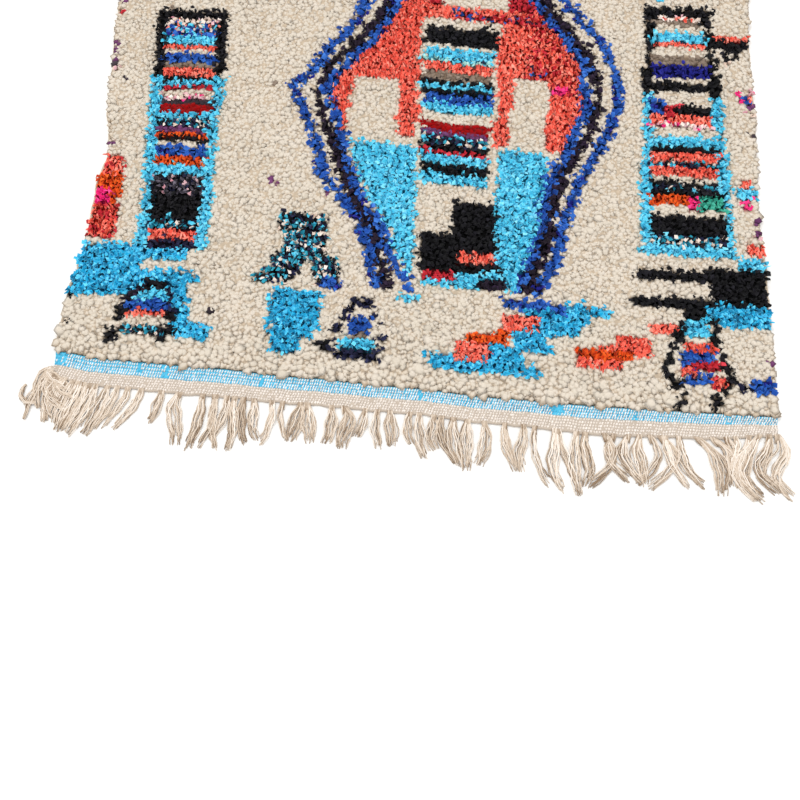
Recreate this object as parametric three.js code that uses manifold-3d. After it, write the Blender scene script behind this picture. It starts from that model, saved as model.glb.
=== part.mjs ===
// A hand-woven azilal rug that lies flat: a pile field of wool and rag knots, and at each end a
// flat-woven strip whose warp ends hang out as a knotted fringe.
// Millimetres, +Z up. +Y runs from the near end to the far end, and the underside is at z = 0.

import * as THREE from "three";
import { mergeVertices } from "three/addons/utils/BufferGeometryUtils.js";
import Module from "manifold-3d";

// Driving dimensions of the pile field
const PILE_LENGTH = 2200;
const PILE_HEIGHT = 15;
const RIM_HEIGHT = 9;
const RIM_INSET = 11;
const LUMP_HEIGHT = 4;
const LUMP_COLUMNS = 25;
const LUMP_ROWS = 38;

// Tufts that stand out from the rim of the pile
const TUFTS_A_SIDE = 44;
const TUFTS_AN_END = 34;
const TUFT_REACH = 6;
const TUFT_WIDTH = 17;
const TUFT_HEIGHT = 7.5;
const TUFT_ROOT = 9;
const TUFT_SCATTER = 0.5;
const TUFT_OVER_STRIP = 4.6;

// Flat-woven end strips and their fringe
const STRIP_THICKNESS = 3;
const RIDGE_HEIGHT = 4.4;
const RIDGE_WIDTH = 9;
const BUNDLES = 52;
const STRAND_ROOT = 5;
const STRAND_WIDTH = 8.5;
const STRAND_HEIGHT = 5.5;
const STRAND_SPREAD = 6.2;
const STRAND_SPLAY = 2.5;
const LEAN_CURVE = 1.3;
const LENGTH_SCATTER = 0.3;
const SWAY_SCATTER = 5;
const GAP = 0.3;

// How wide the top of a strand or tuft is, as a share of its foot
const CREST = 0.6;

// Both sides of the pile: how far left and right they lie at a distance along the rug.
// The near 0.9 m are as uneven as on the rug that was measured, and the rest goes on like it.
const SIDES = [
  { along: -60, left: -708, right: 689 },
  { along: 50, left: -706, right: 685 },
  { along: 150, left: -703, right: 687 },
  { along: 285, left: -684, right: 680 },
  { along: 420, left: -686, right: 669 },
  { along: 490, left: -675, right: 670 },
  { along: 620, left: -690, right: 673 },
  { along: 860, left: -705, right: 668 },
  { along: 1100, left: -694, right: 681 },
  { along: 1400, left: -700, right: 676 },
  { along: 1700, left: -688, right: 686 },
  { along: 1950, left: -696, right: 679 },
  { along: 2260, left: -690, right: 706 },
];

// The near end from left to right: where the pile stops and where the fringe starts, along the rug,
// then how long the fringe is and how far it leans sideways.
const NEAR_END = [
  { across: -710, pile: 42, root: -9, fringe: 78, lean: -36 },
  { across: -610, pile: 27, root: -22, fringe: 82, lean: -24 },
  { across: -415, pile: 19, root: -29, fringe: 88, lean: -6 },
  { across: -220, pile: 10, root: -35, fringe: 84, lean: 2 },
  { across: -30, pile: 2, root: -41, fringe: 92, lean: -3 },
  { across: 160, pile: -8, root: -52, fringe: 108, lean: 4 },
  { across: 350, pile: -12, root: -62, fringe: 98, lean: 6 },
  { across: 540, pile: -13, root: -58, fringe: 108, lean: 5 },
  { across: 690, pile: -9, root: -44, fringe: 124, lean: 9 },
];

// The far end in the same columns, measured outwards from the end of the pile.
const FAR_END = [
  { across: -700, pile: 6, root: -44, fringe: 96, lean: -8 },
  { across: -450, pile: -4, root: -52, fringe: 104, lean: -5 },
  { across: -150, pile: 3, root: -46, fringe: 94, lean: 4 },
  { across: 150, pile: 8, root: -42, fringe: 90, lean: -3 },
  { across: 450, pile: -2, root: -50, fringe: 98, lean: 8 },
  { across: 706, pile: -6, root: -56, fringe: 88, lean: 34 },
];

// Sections of one strand from its root to its tip: distance, width and height as shares of the
// strand's own, and how much of its sway it has there.
const STRAND_SECTIONS = [
  { along: 0, width: 0.8, height: 1, sway: 0 },
  { along: 0.3, width: 0.85, height: 0.9, sway: 0.55 },
  { along: 0.7, width: 1.15, height: 0.65, sway: -0.2 },
  { along: 1, width: 0.55, height: 0.35, sway: 0.35 },
];

// What each use of the scattered numbers is counted by, so that no two uses are alike.
const SCATTER = {
  lump: 1,
  tuftAlongSide: 2,
  tuftAlongEnd: 3,
  leftTuft: 9,
  rightTuft: 13,
  nearTuft: 17,
  farTuft: 21,
  nearStrand: 40,
  farStrand: 50,
};

const FIELD_WIDTH = SIDES[0].right - SIDES[0].left;

const WOOL = { color: 0xd8ccb6, roughness: 0.95, metalness: 0 };
const COTTON = { color: 0xe6d9c0, roughness: 0.9, metalness: 0 };

const wasm = await Module();
wasm.setup();

// A number from 0 to 1 that looks random and is the same for the same place and purpose.
function scatter(place, purpose) {
  const wave = Math.sin(place * 12.9898 + purpose * 78.233) * 43758.5453;
  return wave - Math.floor(wave);
}

// The value of one column of a table where another column reaches a given place, eased between rows.
function read(rows, by, place, column) {
  const next = rows.findIndex((row) => row[by] >= place);
  if (next === 0) return rows[0][column];
  if (next < 0) return rows[rows.length - 1][column];
  const [a, b] = [rows[next - 1], rows[next]];
  const share = THREE.MathUtils.smoothstep(place, a[by], b[by]);
  return THREE.MathUtils.lerp(a[column], b[column], share);
}

// The closed solid of a point list and its triangles.
function solidOf(points, triangles) {
  const geometry = new THREE.BufferGeometry().setFromPoints(points);
  geometry.setIndex(triangles);
  const merged = mergeVertices(geometry, 1e-4);
  return new wasm.Manifold(
    new wasm.Mesh({
      numProp: 3,
      vertProperties: merged.attributes.position.array,
      triVerts: new Uint32Array(merged.index.array),
    }),
  );
}

// A solid between a grid of upper points and its shadow on the floor at z = 0. The grid is a list of
// rows, each row a list of points, and its rows and columns turn counter-clockwise seen from above.
function grounded(grid) {
  const columns = grid[0].length;
  const top = grid.flat();
  const floor = top.map((point) => new THREE.Vector3(point.x, point.y, 0));
  const triangles = [];
  const quad = (a, b, c, d) => triangles.push(a, b, c, a, c, d);
  const at = (row, column) => row * columns + column;
  for (let row = 0; row + 1 < grid.length; row++) {
    for (let column = 0; column + 1 < columns; column++) {
      quad(at(row, column), at(row, column + 1), at(row + 1, column + 1), at(row + 1, column));
    }
  }
  const last = grid.length - 1;
  const rim = [];
  for (let column = 0; column < columns - 1; column++) rim.push(at(0, column));
  for (let row = 0; row < last; row++) rim.push(at(row, columns - 1));
  for (let column = columns - 1; column > 0; column--) rim.push(at(last, column));
  for (let row = last; row > 0; row--) rim.push(at(row, 0));
  rim.forEach((here, i) => {
    const next = rim[(i + 1) % rim.length];
    quad(top.length + here, top.length + next, next, here);
  });
  const outline = rim.map((i) => new THREE.Vector2(top[i].x, top[i].y));
  for (const [a, b, c] of THREE.ShapeUtils.triangulateShape(outline, [])) {
    triangles.push(top.length + rim[a], top.length + rim[c], top.length + rim[b]);
  }
  const used = [...new Set(triangles)];
  const place = new Map(used.map((index, i) => [index, i]));
  const points = used.map((index) => (index < top.length ? top[index] : floor[index - top.length]));
  return solidOf(points, triangles.map((index) => place.get(index)));
}

// A strand of four sides that lies level on the height `low`. Each section has its middle, the
// direction across it, its width and its height.
function strand(sections, low) {
  const points = sections.flatMap(({ middle, across, width, height }) => {
    const corner = (side, z) =>
      new THREE.Vector3(middle.x + across.x * side * width, middle.y + across.y * side * width, z);
    const foot = [corner(-0.5, low), corner(0.5, low)];
    return [...foot, corner(CREST / 2, low + height), corner(-CREST / 2, low + height)];
  });
  const last = points.length - 4;
  const triangles = [0, 2, 1, 0, 3, 2, last, last + 1, last + 2, last, last + 2, last + 3];
  for (let section = 0; section < last; section += 4) {
    for (let side = 0; side < 4; side++) {
      const a = section + side;
      const b = section + ((side + 1) % 4);
      triangles.push(a, b, a + 4, b, b + 4, a + 4);
    }
  }
  return solidOf(points, triangles);
}

// A tuft of pile that starts inside the rim at `edge` and ends outside it, pointing along `out`.
function tuft(edge, out, low, number, purpose) {
  const uneven = (use) => TUFT_SCATTER * (2 * scatter(number, purpose + use) - 1);
  const across = new THREE.Vector2(-out.y, out.x);
  const width = TUFT_WIDTH * (1 + uneven(0));
  const height = Math.min(TUFT_HEIGHT, RIM_HEIGHT - low);
  const root = edge.clone().addScaledVector(out, -TUFT_ROOT);
  const tip = edge.clone().addScaledVector(out, TUFT_REACH * (1 + uneven(1)) / (1 + TUFT_SCATTER));
  tip.addScaledVector(across, TUFT_REACH * uneven(2));
  return strand(
    [
      { middle: root, across, width, height: height - GAP },
      { middle: tip, across, width: width / 2, height: height / 2 },
    ],
    low,
  );
}

// Where the pile field lies at shares of its width and its length.
function fieldPoint(acrossShare, alongShare) {
  const guess = THREE.MathUtils.lerp(SIDES[0].left, SIDES[0].right, acrossShare);
  const near = read(NEAR_END, "across", guess, "pile");
  const far = PILE_LENGTH - read(FAR_END, "across", guess, "pile");
  const y = THREE.MathUtils.lerp(near, far, alongShare);
  const left = read(SIDES, "along", y, "left");
  const right = read(SIDES, "along", y, "right");
  return new THREE.Vector2(THREE.MathUtils.lerp(left, right, acrossShare), y);
}

// Shares from 0 to 1 in even steps, with one more step close to each end for the rounded rim.
function rimmedShares(steps, length) {
  const inset = RIM_INSET / length;
  const inner = Array.from({ length: steps + 1 }, (_, i) => inset + ((1 - 2 * inset) * i) / steps);
  return [0, ...inner, 1];
}

function pileField() {
  const acrossShares = rimmedShares(LUMP_COLUMNS, FIELD_WIDTH);
  const alongShares = rimmedShares(LUMP_ROWS, PILE_LENGTH);
  const grid = alongShares.map((along, row) =>
    acrossShares.map((across, column) => {
      const { x, y } = fieldPoint(across, along);
      const rim = Math.min(along, 1 - along, across, 1 - across) === 0;
      const lump = LUMP_HEIGHT * (scatter(row * acrossShares.length + column, SCATTER.lump) - 0.5);
      return new THREE.Vector3(x, y, rim ? RIM_HEIGHT : PILE_HEIGHT + lump);
    }),
  );
  let field = grounded(grid);
  const addTufts = (count, edgeAt, out, low, placing, purpose) => {
    for (let i = 0; i < count; i++) {
      const share = (i + 0.5 + TUFT_SCATTER * (scatter(i, placing) - 0.5)) / count;
      field = field.add(tuft(edgeAt(share), out, low, i, purpose));
    }
  };
  const along = SCATTER.tuftAlongSide;
  const across = SCATTER.tuftAlongEnd;
  const left = new THREE.Vector2(-1, 0);
  const right = new THREE.Vector2(1, 0);
  const near = new THREE.Vector2(0, -1);
  const far = new THREE.Vector2(0, 1);
  addTufts(TUFTS_A_SIDE, (share) => fieldPoint(0, share), left, 0, along, SCATTER.leftTuft);
  addTufts(TUFTS_A_SIDE, (share) => fieldPoint(1, share), right, 0, along, SCATTER.rightTuft);
  const over = TUFT_OVER_STRIP;
  addTufts(TUFTS_AN_END, (share) => fieldPoint(share, 0), near, over, across, SCATTER.nearTuft);
  addTufts(TUFTS_AN_END, (share) => fieldPoint(share, 1), far, over, across, SCATTER.farTuft);
  return field;
}

// One of the two strands of a bundle at `middle`, laid out towards -Y in the end's own frame.
function fringeStrand(end, middle, bundle, side, purpose) {
  const number = bundle * 2 + (side > 0 ? 1 : 0);
  const x = middle + side * STRAND_SPREAD;
  const root = read(end, "across", x, "root");
  const shortening = LENGTH_SCATTER * scatter(number, purpose);
  const length = read(end, "across", x, "fringe") * (1 - shortening);
  const lean = read(end, "across", x, "lean") + side * STRAND_SPLAY;
  const sway = SWAY_SCATTER * (scatter(bundle, purpose + 1) - 0.5);
  const sections = STRAND_SECTIONS.map((row) => ({
    middle: new THREE.Vector2(
      x + lean * row.along ** LEAN_CURVE + sway * row.sway,
      row.along === 0 ? root + STRAND_ROOT : root - length * row.along,
    ),
    across: new THREE.Vector2(1, 0),
    width: STRAND_WIDTH * row.width,
    height: STRAND_HEIGHT * row.height,
  }));
  return strand(sections, 0);
}

// The end strip with its fringe, in the end's own frame: the pile is on its +Y side, and
// `pileEdge` gives the edge of the pile at a share of the width.
function fringedEnd(end, pileEdge, purpose) {
  const edge = rimmedShares(LUMP_COLUMNS, FIELD_WIDTH).map(pileEdge);
  const roots = edge.map(({ x }) => new THREE.Vector3(x, read(end, "across", x, "root"), RIDGE_HEIGHT));
  const ridge = roots.map(({ x, y }) => new THREE.Vector3(x, y + RIDGE_WIDTH, STRIP_THICKNESS));
  const seam = edge.map(({ x, y }) => new THREE.Vector3(x, y - GAP, STRIP_THICKNESS));
  let made = grounded([roots, ridge, seam]);
  const first = edge[0].x + STRAND_WIDTH;
  const last = edge[edge.length - 1].x - STRAND_WIDTH;
  for (let bundle = 0; bundle < BUNDLES; bundle++) {
    const x = THREE.MathUtils.lerp(first, last, bundle / (BUNDLES - 1));
    made = made.add(fringeStrand(end, x, bundle, -1, purpose));
    made = made.add(fringeStrand(end, x, bundle, 1, purpose));
  }
  return made;
}

// A named mesh of a solid, in the finish of its yarn.
function meshOf(solid, name, finish) {
  const made = solid.getMesh();
  const geometry = new THREE.BufferGeometry();
  geometry.setAttribute("position", new THREE.BufferAttribute(made.vertProperties, 3));
  geometry.setIndex(new THREE.BufferAttribute(made.triVerts, 1));
  geometry.computeVertexNormals();
  const mesh = new THREE.Mesh(geometry, new THREE.MeshStandardMaterial(finish));
  mesh.name = name;
  return mesh;
}

// The far end is made in its own frame and turned round to face the other way.
function turnedRound(end) {
  return end.map((row) => ({ ...row, across: -row.across, lean: -row.lean })).reverse();
}

const nearEdge = (share) => fieldPoint(share, 0);
const farEdge = (share) => {
  const { x, y } = fieldPoint(1 - share, 1);
  return new THREE.Vector2(-x, PILE_LENGTH - y);
};

const rug = new THREE.Group();
rug.add(meshOf(pileField(), "pile_field", WOOL));
const nearEnd = fringedEnd(NEAR_END, nearEdge, SCATTER.nearStrand);
rug.add(meshOf(nearEnd, "near_end_fringe", COTTON));
const farSolid = fringedEnd(turnedRound(FAR_END), farEdge, SCATTER.farStrand);
const farEnd = meshOf(farSolid, "far_end_fringe", COTTON);
farEnd.rotation.z = Math.PI;
farEnd.position.y = PILE_LENGTH;
rug.add(farEnd);

// The origin is below the middle of everything that is built.
rug.updateMatrixWorld(true);
const middle = new THREE.Box3().setFromObject(rug, true).getCenter(new THREE.Vector3());
rug.position.set(-middle.x, -middle.y, 0);

export default rug;
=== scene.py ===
# %% [markdown]
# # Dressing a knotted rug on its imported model
#
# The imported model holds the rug's true size: a lumpy slab for the pile and a strip with loose strands
# at each end. This lesson hides those three solids and puts the real thing in their place: nearly
# twenty-four thousand knots of wool and of cut rag, the ground cloth that they are tied to, the two
# flat-woven ends and the warp yarns that hang out of them.
#
# Everything is worked out in the rug's own millimetres: x across, y along, z up from the floor. One
# function at the end of each step turns that into the frame's metres.

import math
from collections import namedtuple

import bpy
import numpy as np
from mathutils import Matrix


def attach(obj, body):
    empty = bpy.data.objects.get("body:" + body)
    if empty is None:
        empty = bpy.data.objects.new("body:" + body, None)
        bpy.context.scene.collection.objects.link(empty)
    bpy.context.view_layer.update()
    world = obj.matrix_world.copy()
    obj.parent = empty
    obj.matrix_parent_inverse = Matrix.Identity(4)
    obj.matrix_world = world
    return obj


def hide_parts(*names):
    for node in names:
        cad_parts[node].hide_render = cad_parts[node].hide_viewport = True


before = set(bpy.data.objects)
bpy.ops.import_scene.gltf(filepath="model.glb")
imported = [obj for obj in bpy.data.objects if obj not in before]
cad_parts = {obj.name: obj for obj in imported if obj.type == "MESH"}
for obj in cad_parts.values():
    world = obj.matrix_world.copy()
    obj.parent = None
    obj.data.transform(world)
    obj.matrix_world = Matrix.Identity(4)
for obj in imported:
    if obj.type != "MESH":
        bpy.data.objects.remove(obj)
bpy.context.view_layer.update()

# %% [markdown]
# ## The outline that the rug was woven to
#
# A rug from an upright loom is never a rectangle. Its sides wander by a few centimetres and its ends
# run a little skew. Short tables like these shaped the solids as well. Here they follow the photograph
# a few millimetres more closely, because single knots show at the rim. A table is a dictionary of
# columns, and `read` eases between its rows.

# %% Tables of the outline, and how to read them
PILE_LENGTH = 2200.0
GAP = 0.3

SIDES = {
    "along": [-60, 50, 150, 285, 420, 490, 620, 860, 1100, 1400, 1700, 1950, 2260],
    "left": [-706, -702, -699, -680, -679, -666, -686, -700, -692, -700, -688, -696, -690],
    "right": [687, 681, 679, 677, 668, 668, 671, 668, 681, 676, 686, 679, 706],
}
NEAR_END = {
    "across": [-710, -610, -415, -220, -30, 160, 350, 540, 690],
    "pile": [44, 33, 27, 18, 10, -1, -6, -7, -7],
    "root": [-9, -22, -29, -35, -41, -52, -62, -58, -44],
    "fringe": [78, 82, 88, 84, 92, 108, 98, 108, 124],
    "lean": [-36, -24, -6, 2, -3, 4, 6, 5, 9],
}
FAR_END = {
    "across": [-700, -450, -150, 150, 450, 706],
    "pile": [6, -4, 3, 8, -2, -6],
    "root": [-44, -52, -46, -42, -50, -56],
    "fringe": [96, 104, 94, 90, 98, 88],
    "lean": [-8, -5, 4, -3, 8, 34],
}


def ease(share):
    """The smooth step: three times the square less twice the cube, held between 0 and 1."""
    share = np.clip(share, 0, 1)
    return share * share * (3 - 2 * share)


def read(table, by, place, column):
    """The value of a column where the column `by` reaches a place, eased between two rows."""
    stops = np.array(table[by], float)
    values = np.array(table[column], float)
    held = np.clip(place, stops[0], stops[-1])
    row = np.clip(np.searchsorted(stops, held, side="right") - 1, 0, len(stops) - 2)
    share = ease((held - stops[row]) / (stops[row + 1] - stops[row]))
    return values[row] + (values[row + 1] - values[row]) * share


def at_share(share, along):
    """The x of a share of the rug's width at a place along it."""
    left = read(SIDES, "along", along, "left")
    return left + (read(SIDES, "along", along, "right") - left) * share


def edge_point(share, far=False):
    """The (x, y) on the pile's near or far edge at a share of the width."""
    guess = SIDES["left"][0] + (SIDES["right"][0] - SIDES["left"][0]) * share
    if far:
        y = PILE_LENGTH - read(FAR_END, "across", guess, "pile")
    else:
        y = read(NEAR_END, "across", guess, "pile")
    return np.stack([at_share(share, y), y], axis=-1)


middle_width = at_share(1, PILE_LENGTH / 2) - at_share(0, PILE_LENGTH / 2)
print("the pile:", PILE_LENGTH, "mm long,", round(float(middle_width), 1), "mm wide half way")

# %% [markdown]
# ## From the loom to the frame
#
# The frame counts in metres from a point of its own. One corner that both know gives the shift: the
# solid of the near end reaches furthest along the rug at its left corner, where the pile's near edge
# meets the left side.

# %% From the rug's millimetres to the frame's metres
CORNER_HERE = (-706.0, 41.7)

strip_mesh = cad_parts["near_end_fringe"].data
strip_points = np.empty(len(strip_mesh.vertices) * 3, np.float32)
strip_mesh.vertices.foreach_get("co", strip_points)
strip_points = strip_points.reshape(-1, 3) * 1000.0
SHIFT = np.append(strip_points[strip_points[:, 1].argmax(), :2] - CORNER_HERE, 0.0)
print("shift, mm:", SHIFT.round(2))


def to_frame(points):
    """Points in the rug's millimetres, moved and turned into the frame's metres."""
    return (np.asarray(points, float) + SHIFT) / 1000.0


# %% [markdown]
# ## The camera
#
# The photograph looks down on the near end of the rug from about 1.9 metres above the floor, so the
# sides seem to close in towards its top only a little. A real photographer stands at the fringe and
# holds the camera out. The lens follows from the width of the rug in the picture.

# %% Place the camera
CAMERA_PLACE = (9.3, -681.8, 1891.6)
CAMERA_TURN = 3.5
CAMERA_DOWN = 70.5
SENSOR = 36.0
PICTURE_WIDTH = 800
FOCAL_PIXELS = 1050

camera_data = bpy.data.cameras.new("camera")
camera_data.sensor_width = SENSOR
camera_data.lens = SENSOR * FOCAL_PIXELS / PICTURE_WIDTH
camera = bpy.data.objects.new("camera", camera_data)
camera.location = to_frame(CAMERA_PLACE)
camera.rotation_euler = (math.radians(90 - CAMERA_DOWN), 0, math.radians(CAMERA_TURN))
bpy.context.scene.collection.objects.link(camera)
bpy.context.scene.camera = camera
print("lens, mm:", camera_data.lens)

# %% [markdown]
# ## A few small tools
#
# Every mesh below comes from whole arrays: all points in one array and all faces in another. One
# helper puts them into Blender. Every material is a small graph of nodes: one helper starts an empty
# graph, and another adds a node to it.


def piece(name, points, faces, material, attributes=None, smooth=True):
    """A mesh object from points in the rug's millimetres and faces with the same number of sides."""
    points = to_frame(points).astype(np.float32)
    faces = np.asarray(faces, np.int32)
    mesh = bpy.data.meshes.new(name)
    mesh.vertices.add(len(points))
    mesh.vertices.foreach_set("co", points.ravel())
    mesh.loops.add(faces.size)
    mesh.loops.foreach_set("vertex_index", faces.ravel())
    mesh.polygons.add(len(faces))
    mesh.polygons.foreach_set("loop_start", np.arange(0, faces.size, faces.shape[1], dtype=np.int32))
    mesh.update(calc_edges=True)
    mesh.polygons.foreach_set("use_smooth", np.broadcast_to(smooth, len(faces)).copy())
    for key, values in (attributes or {}).items():
        values = np.asarray(values, np.float32)
        kind, field = ("FLOAT_COLOR", "color") if values.ndim == 2 else ("FLOAT", "value")
        mesh.attributes.new(key, kind, "POINT").data.foreach_set(field, values.ravel())
    mesh.materials.append(material)
    made = bpy.data.objects.new(name, mesh)
    bpy.context.scene.collection.objects.link(made)
    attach(made, "root")
    return made


# %% Start a material, add a node, and read a colour
def blank_material(name):
    """A material whose graph of nodes is still empty, and that graph."""
    made = bpy.data.materials.new(name)
    made.use_nodes = True
    made.node_tree.nodes.clear()
    return made, made.node_tree


def add(tree, kind, inputs=None, **settings):
    """A node of a kind, with its settings, and its inputs given as values or as links."""
    made = tree.nodes.new(kind)
    for key, value in settings.items():
        setattr(made, key, value)
    for key, value in (inputs or {}).items():
        if isinstance(value, bpy.types.NodeSocket):
            tree.links.new(value, made.inputs[key])
        else:
            made.inputs[key].default_value = value
    return made


def linear(code):
    """An sRGB hex colour as linear red, green, blue and alpha."""
    parts = [int(code[i:i + 2], 16) / 255 for i in (1, 3, 5)]
    return tuple(c / 12.92 if c <= 0.04045 else ((c + 0.055) / 1.055) ** 2.4 for c in parts) + (1.0,)


print("half grey, #808080, gives off", round(linear("#808080")[0], 3), "of the light of white")

# %% [markdown]
# ## The dyes
#
# Two kinds of fibre make the pile. Hand-spun sheep's wool gives soft matt lumps: the cream ground and
# a few muted stripes. Cut strips of old cotton jersey, the rags, give crisp curled petals in loud
# colours. Each dye has a dark, a middle and a light tone, because no two rags faded alike.
#
# Printed cloth falls apart into specks of several colours when it is cut, so a speckled stripe is a
# mix: each strip of its knots draws one dye from the mix by weight.

# %% The table of dyes and of mixes
Dye = namedtuple("Dye", "fibre dark middle light")
DYES = {
    "cream": Dye("wool", "#cabfae", "#d9cebe", "#ddd2c4"),
    "taupe": Dye("wool", "#64564b", "#8a7a6c", "#a6988b"),
    "deep_red": Dye("wool", "#6a0203", "#980508", "#b01216"),
    "purple": Dye("wool", "#4c2647", "#6e3d69", "#8a5886"),
    "charcoal": Dye("wool", "#221c22", "#3d343b", "#5a4d55"),
    "turquoise": Dye("rag", "#1b93b8", "#4ac8e9", "#8ce6fb"),
    "lagoon": Dye("rag", "#045f88", "#14acdb", "#70e0ff"),
    "teal": Dye("rag", "#0d5d74", "#18849e", "#37a9c0"),
    "sea": Dye("rag", "#0f6a5c", "#2a9d86", "#5cc9ae"),
    "aqua": Dye("rag", "#74c9c8", "#a3e0d8", "#c9f2ea"),
    "coral": Dye("rag", "#b91c10", "#f8604b", "#ffa38f"),
    "red": Dye("rag", "#8c0c14", "#bf1d2b", "#e04552"),
    "orange": Dye("rag", "#a82604", "#e24a0c", "#fb7a2a"),
    "hot_pink": Dye("rag", "#d00c66", "#f8247f", "#ff5aa4"),
    "pink": Dye("rag", "#c98895", "#e4b4bb", "#f4d8d9"),
    "blue": Dye("rag", "#082869", "#164ca8", "#3f7ad2"),
    "ultramarine": Dye("rag", "#080a5a", "#15187c", "#2c2f9e"),
    "navy": Dye("rag", "#0c0d22", "#171934", "#2a2c50"),
    "black": Dye("rag", "#010102", "#060508", "#1a1821"),
    "aubergine": Dye("rag", "#0d0510", "#1b1020", "#2f1e38"),
    "ash": Dye("rag", "#17151c", "#3a353f", "#766e7c"),
    "shell": Dye("rag", "#cfb09b", "#ead6c7", "#faf0e7"),
    "lime": Dye("rag", "#b4d86a", "#d4f08c", "#e8fab4"),
}
MIXES = {
    "night_mix": {"navy": 6, "black": 4, "teal": 5, "turquoise": 3, "shell": 4},
    "bright_mix": {"shell": 4, "turquoise": 5, "navy": 3, "coral": 3, "blue": 2},
    "ember_mix": {"coral": 7, "red": 6, "blue": 1, "navy": 2},
    "brick_mix": {"coral": 8, "red": 2},
    "dotted_blue_mix": {"blue": 6, "coral": 4, "ultramarine": 2},
    "rose_mix": {"pink": 6, "shell": 4, "hot_pink": 1},
    "ash_mix": {"ash": 8, "black": 4, "navy": 2, "pink": 1},
    "aqua_mix": {"aqua": 6, "turquoise": 4, "navy": 2},
    "shell_mix": {"shell": 6, "pink": 1, "coral": 1},
}
DYE_NAMES = list(DYES)
NAMES = DYE_NAMES + list(MIXES)
print(len(DYES), "dyes,", len(MIXES), "mixes")

# %% [markdown]
# ## Where each knot sits
#
# A weaver works row by row, so the design lives in woven coordinates: x across, and a distance along
# that counts rows of knots from the near edge. The rows don't run straight. They start out skew with
# the end and settle into a shallow bow, then meet the far edge again.
#
# There are 124 knots in a row and 192 rows, which is one knot each 11 by 11.5 mm. That is coarse, and
# right for this kind of rug.

# %% The grid of knots
COLUMNS = 124
ROWS = 192
ROW_PITCH = PILE_LENGTH / ROWS
WAVER = 2.2
END_PUSH = 5.0
SETTLE_NEAR = 180.0
SETTLE_FAR = 300.0
BOW = {
    "across": [-700, -500, -300, -100, 100, 300, 500, 700],
    "bow": [14, 20, 18, 6, -8, -18, -24, -26],
}


def row_line(across, along):
    """The y of a row: its distance along plus the bow, eased into the line of either end."""
    bow = read(BOW, "across", across, "bow")
    near = read(NEAR_END, "across", across, "pile")
    far = -read(FAR_END, "across", across, "pile")
    bend = near + (bow - near) * ease(along / SETTLE_NEAR)
    bend = bend + (far - bend) * ease((along - PILE_LENGTH + SETTLE_FAR) / SETTLE_FAR)
    return along + bend


def woven_point(share, along):
    """The x and y of a share of the width on a row. x depends on y and y on x, so it is done twice."""
    x = at_share(share, along)
    for _ in range(2):
        y = row_line(x, along)
        x = at_share(share, y)
    return x, y


def beaten(x, y, along):
    """The y of a row after the comb: it wavers by a few mm, and the end rows are pushed inwards."""
    waver = WAVER * np.sin(x / 19 + along / 71) * np.sin(x / 47 - along / 53)
    push = END_PUSH * (np.exp(-along / ROW_PITCH) - np.exp((along - PILE_LENGTH) / ROW_PITCH))
    return y + waver * np.clip(np.minimum(along, PILE_LENGTH - along) / 40, 0, 1) + push


knot_share, knot_row = np.meshgrid((np.arange(COLUMNS) + 0.5) / COLUMNS, np.arange(ROWS))
knot_along = (knot_row + 0.5) * ROW_PITCH
knot_x, knot_y = woven_point(knot_share, knot_along)
knot_y = beaten(knot_x, knot_y, knot_along)
knot_width = float(middle_width) / COLUMNS
print("knots:", knot_x.size, "each", round(knot_width, 1), "by", round(ROW_PITCH, 1), "mm")

# %% [markdown]
# ## The design
#
# The motifs are the old ones of the High Atlas: a large lozenge with a ladder inside, ladders beside
# it, combs, zigzags and small figures near the end. A weaver carries them in the head and counts
# knots, so they are drawn here as blocks and stripes that round to whole knots.
#
# A block is a dye between two distances along and two places across, and its sides may lean. Only
# the near half is laid out. The far half mirrors it in the middle row, knot row for knot row, which is
# how a weaver repeats a design from memory.

# %% Blocks of one dye
Block = namedtuple("Block", "dye low high left right lean", defaults=(0.0,))
RAGGED_ACROSS = 1.2

# `along` counts from the nearer end, and `across` wavers a little, so that no rim is quite straight.
chance = np.random.default_rng(24)
along = np.minimum(knot_along, PILE_LENGTH - knot_along)
across = knot_x + chance.normal(0, RAGGED_ACROSS, knot_x.shape)
dyed = np.full(knot_x.shape, NAMES.index("cream"))


def paint(where, dye):
    """Ties every knot of a mask in one dye or mix."""
    dyed[where] = NAMES.index(dye)


def paint_blocks(blocks):
    """Ties the whole rows of each block, later blocks over earlier ones: lean is mm across per mm."""
    for block in blocks:
        slide = block.lean * (along - block.low)
        first = round(block.low / ROW_PITCH)
        stop = max(round(block.high / ROW_PITCH), first + 1)
        within = (along > first * ROW_PITCH) & (along < stop * ROW_PITCH)
        within &= (across >= block.left + slide) & (across < block.right + slide)
        paint(within, block.dye)


print("knots with no motif yet:", int((dyed == NAMES.index("cream")).sum()))

# %% [markdown]
# ### The lozenge
#
# Its outline is three lines of knots: blue, then cream ground, then near-black and blue side by side.
# Each line is a column of x in one table, and runs straight between two rows of it. Inside, coral
# fills the upper part and turquoise the lower, with a seam of cream beside the lines.

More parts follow.
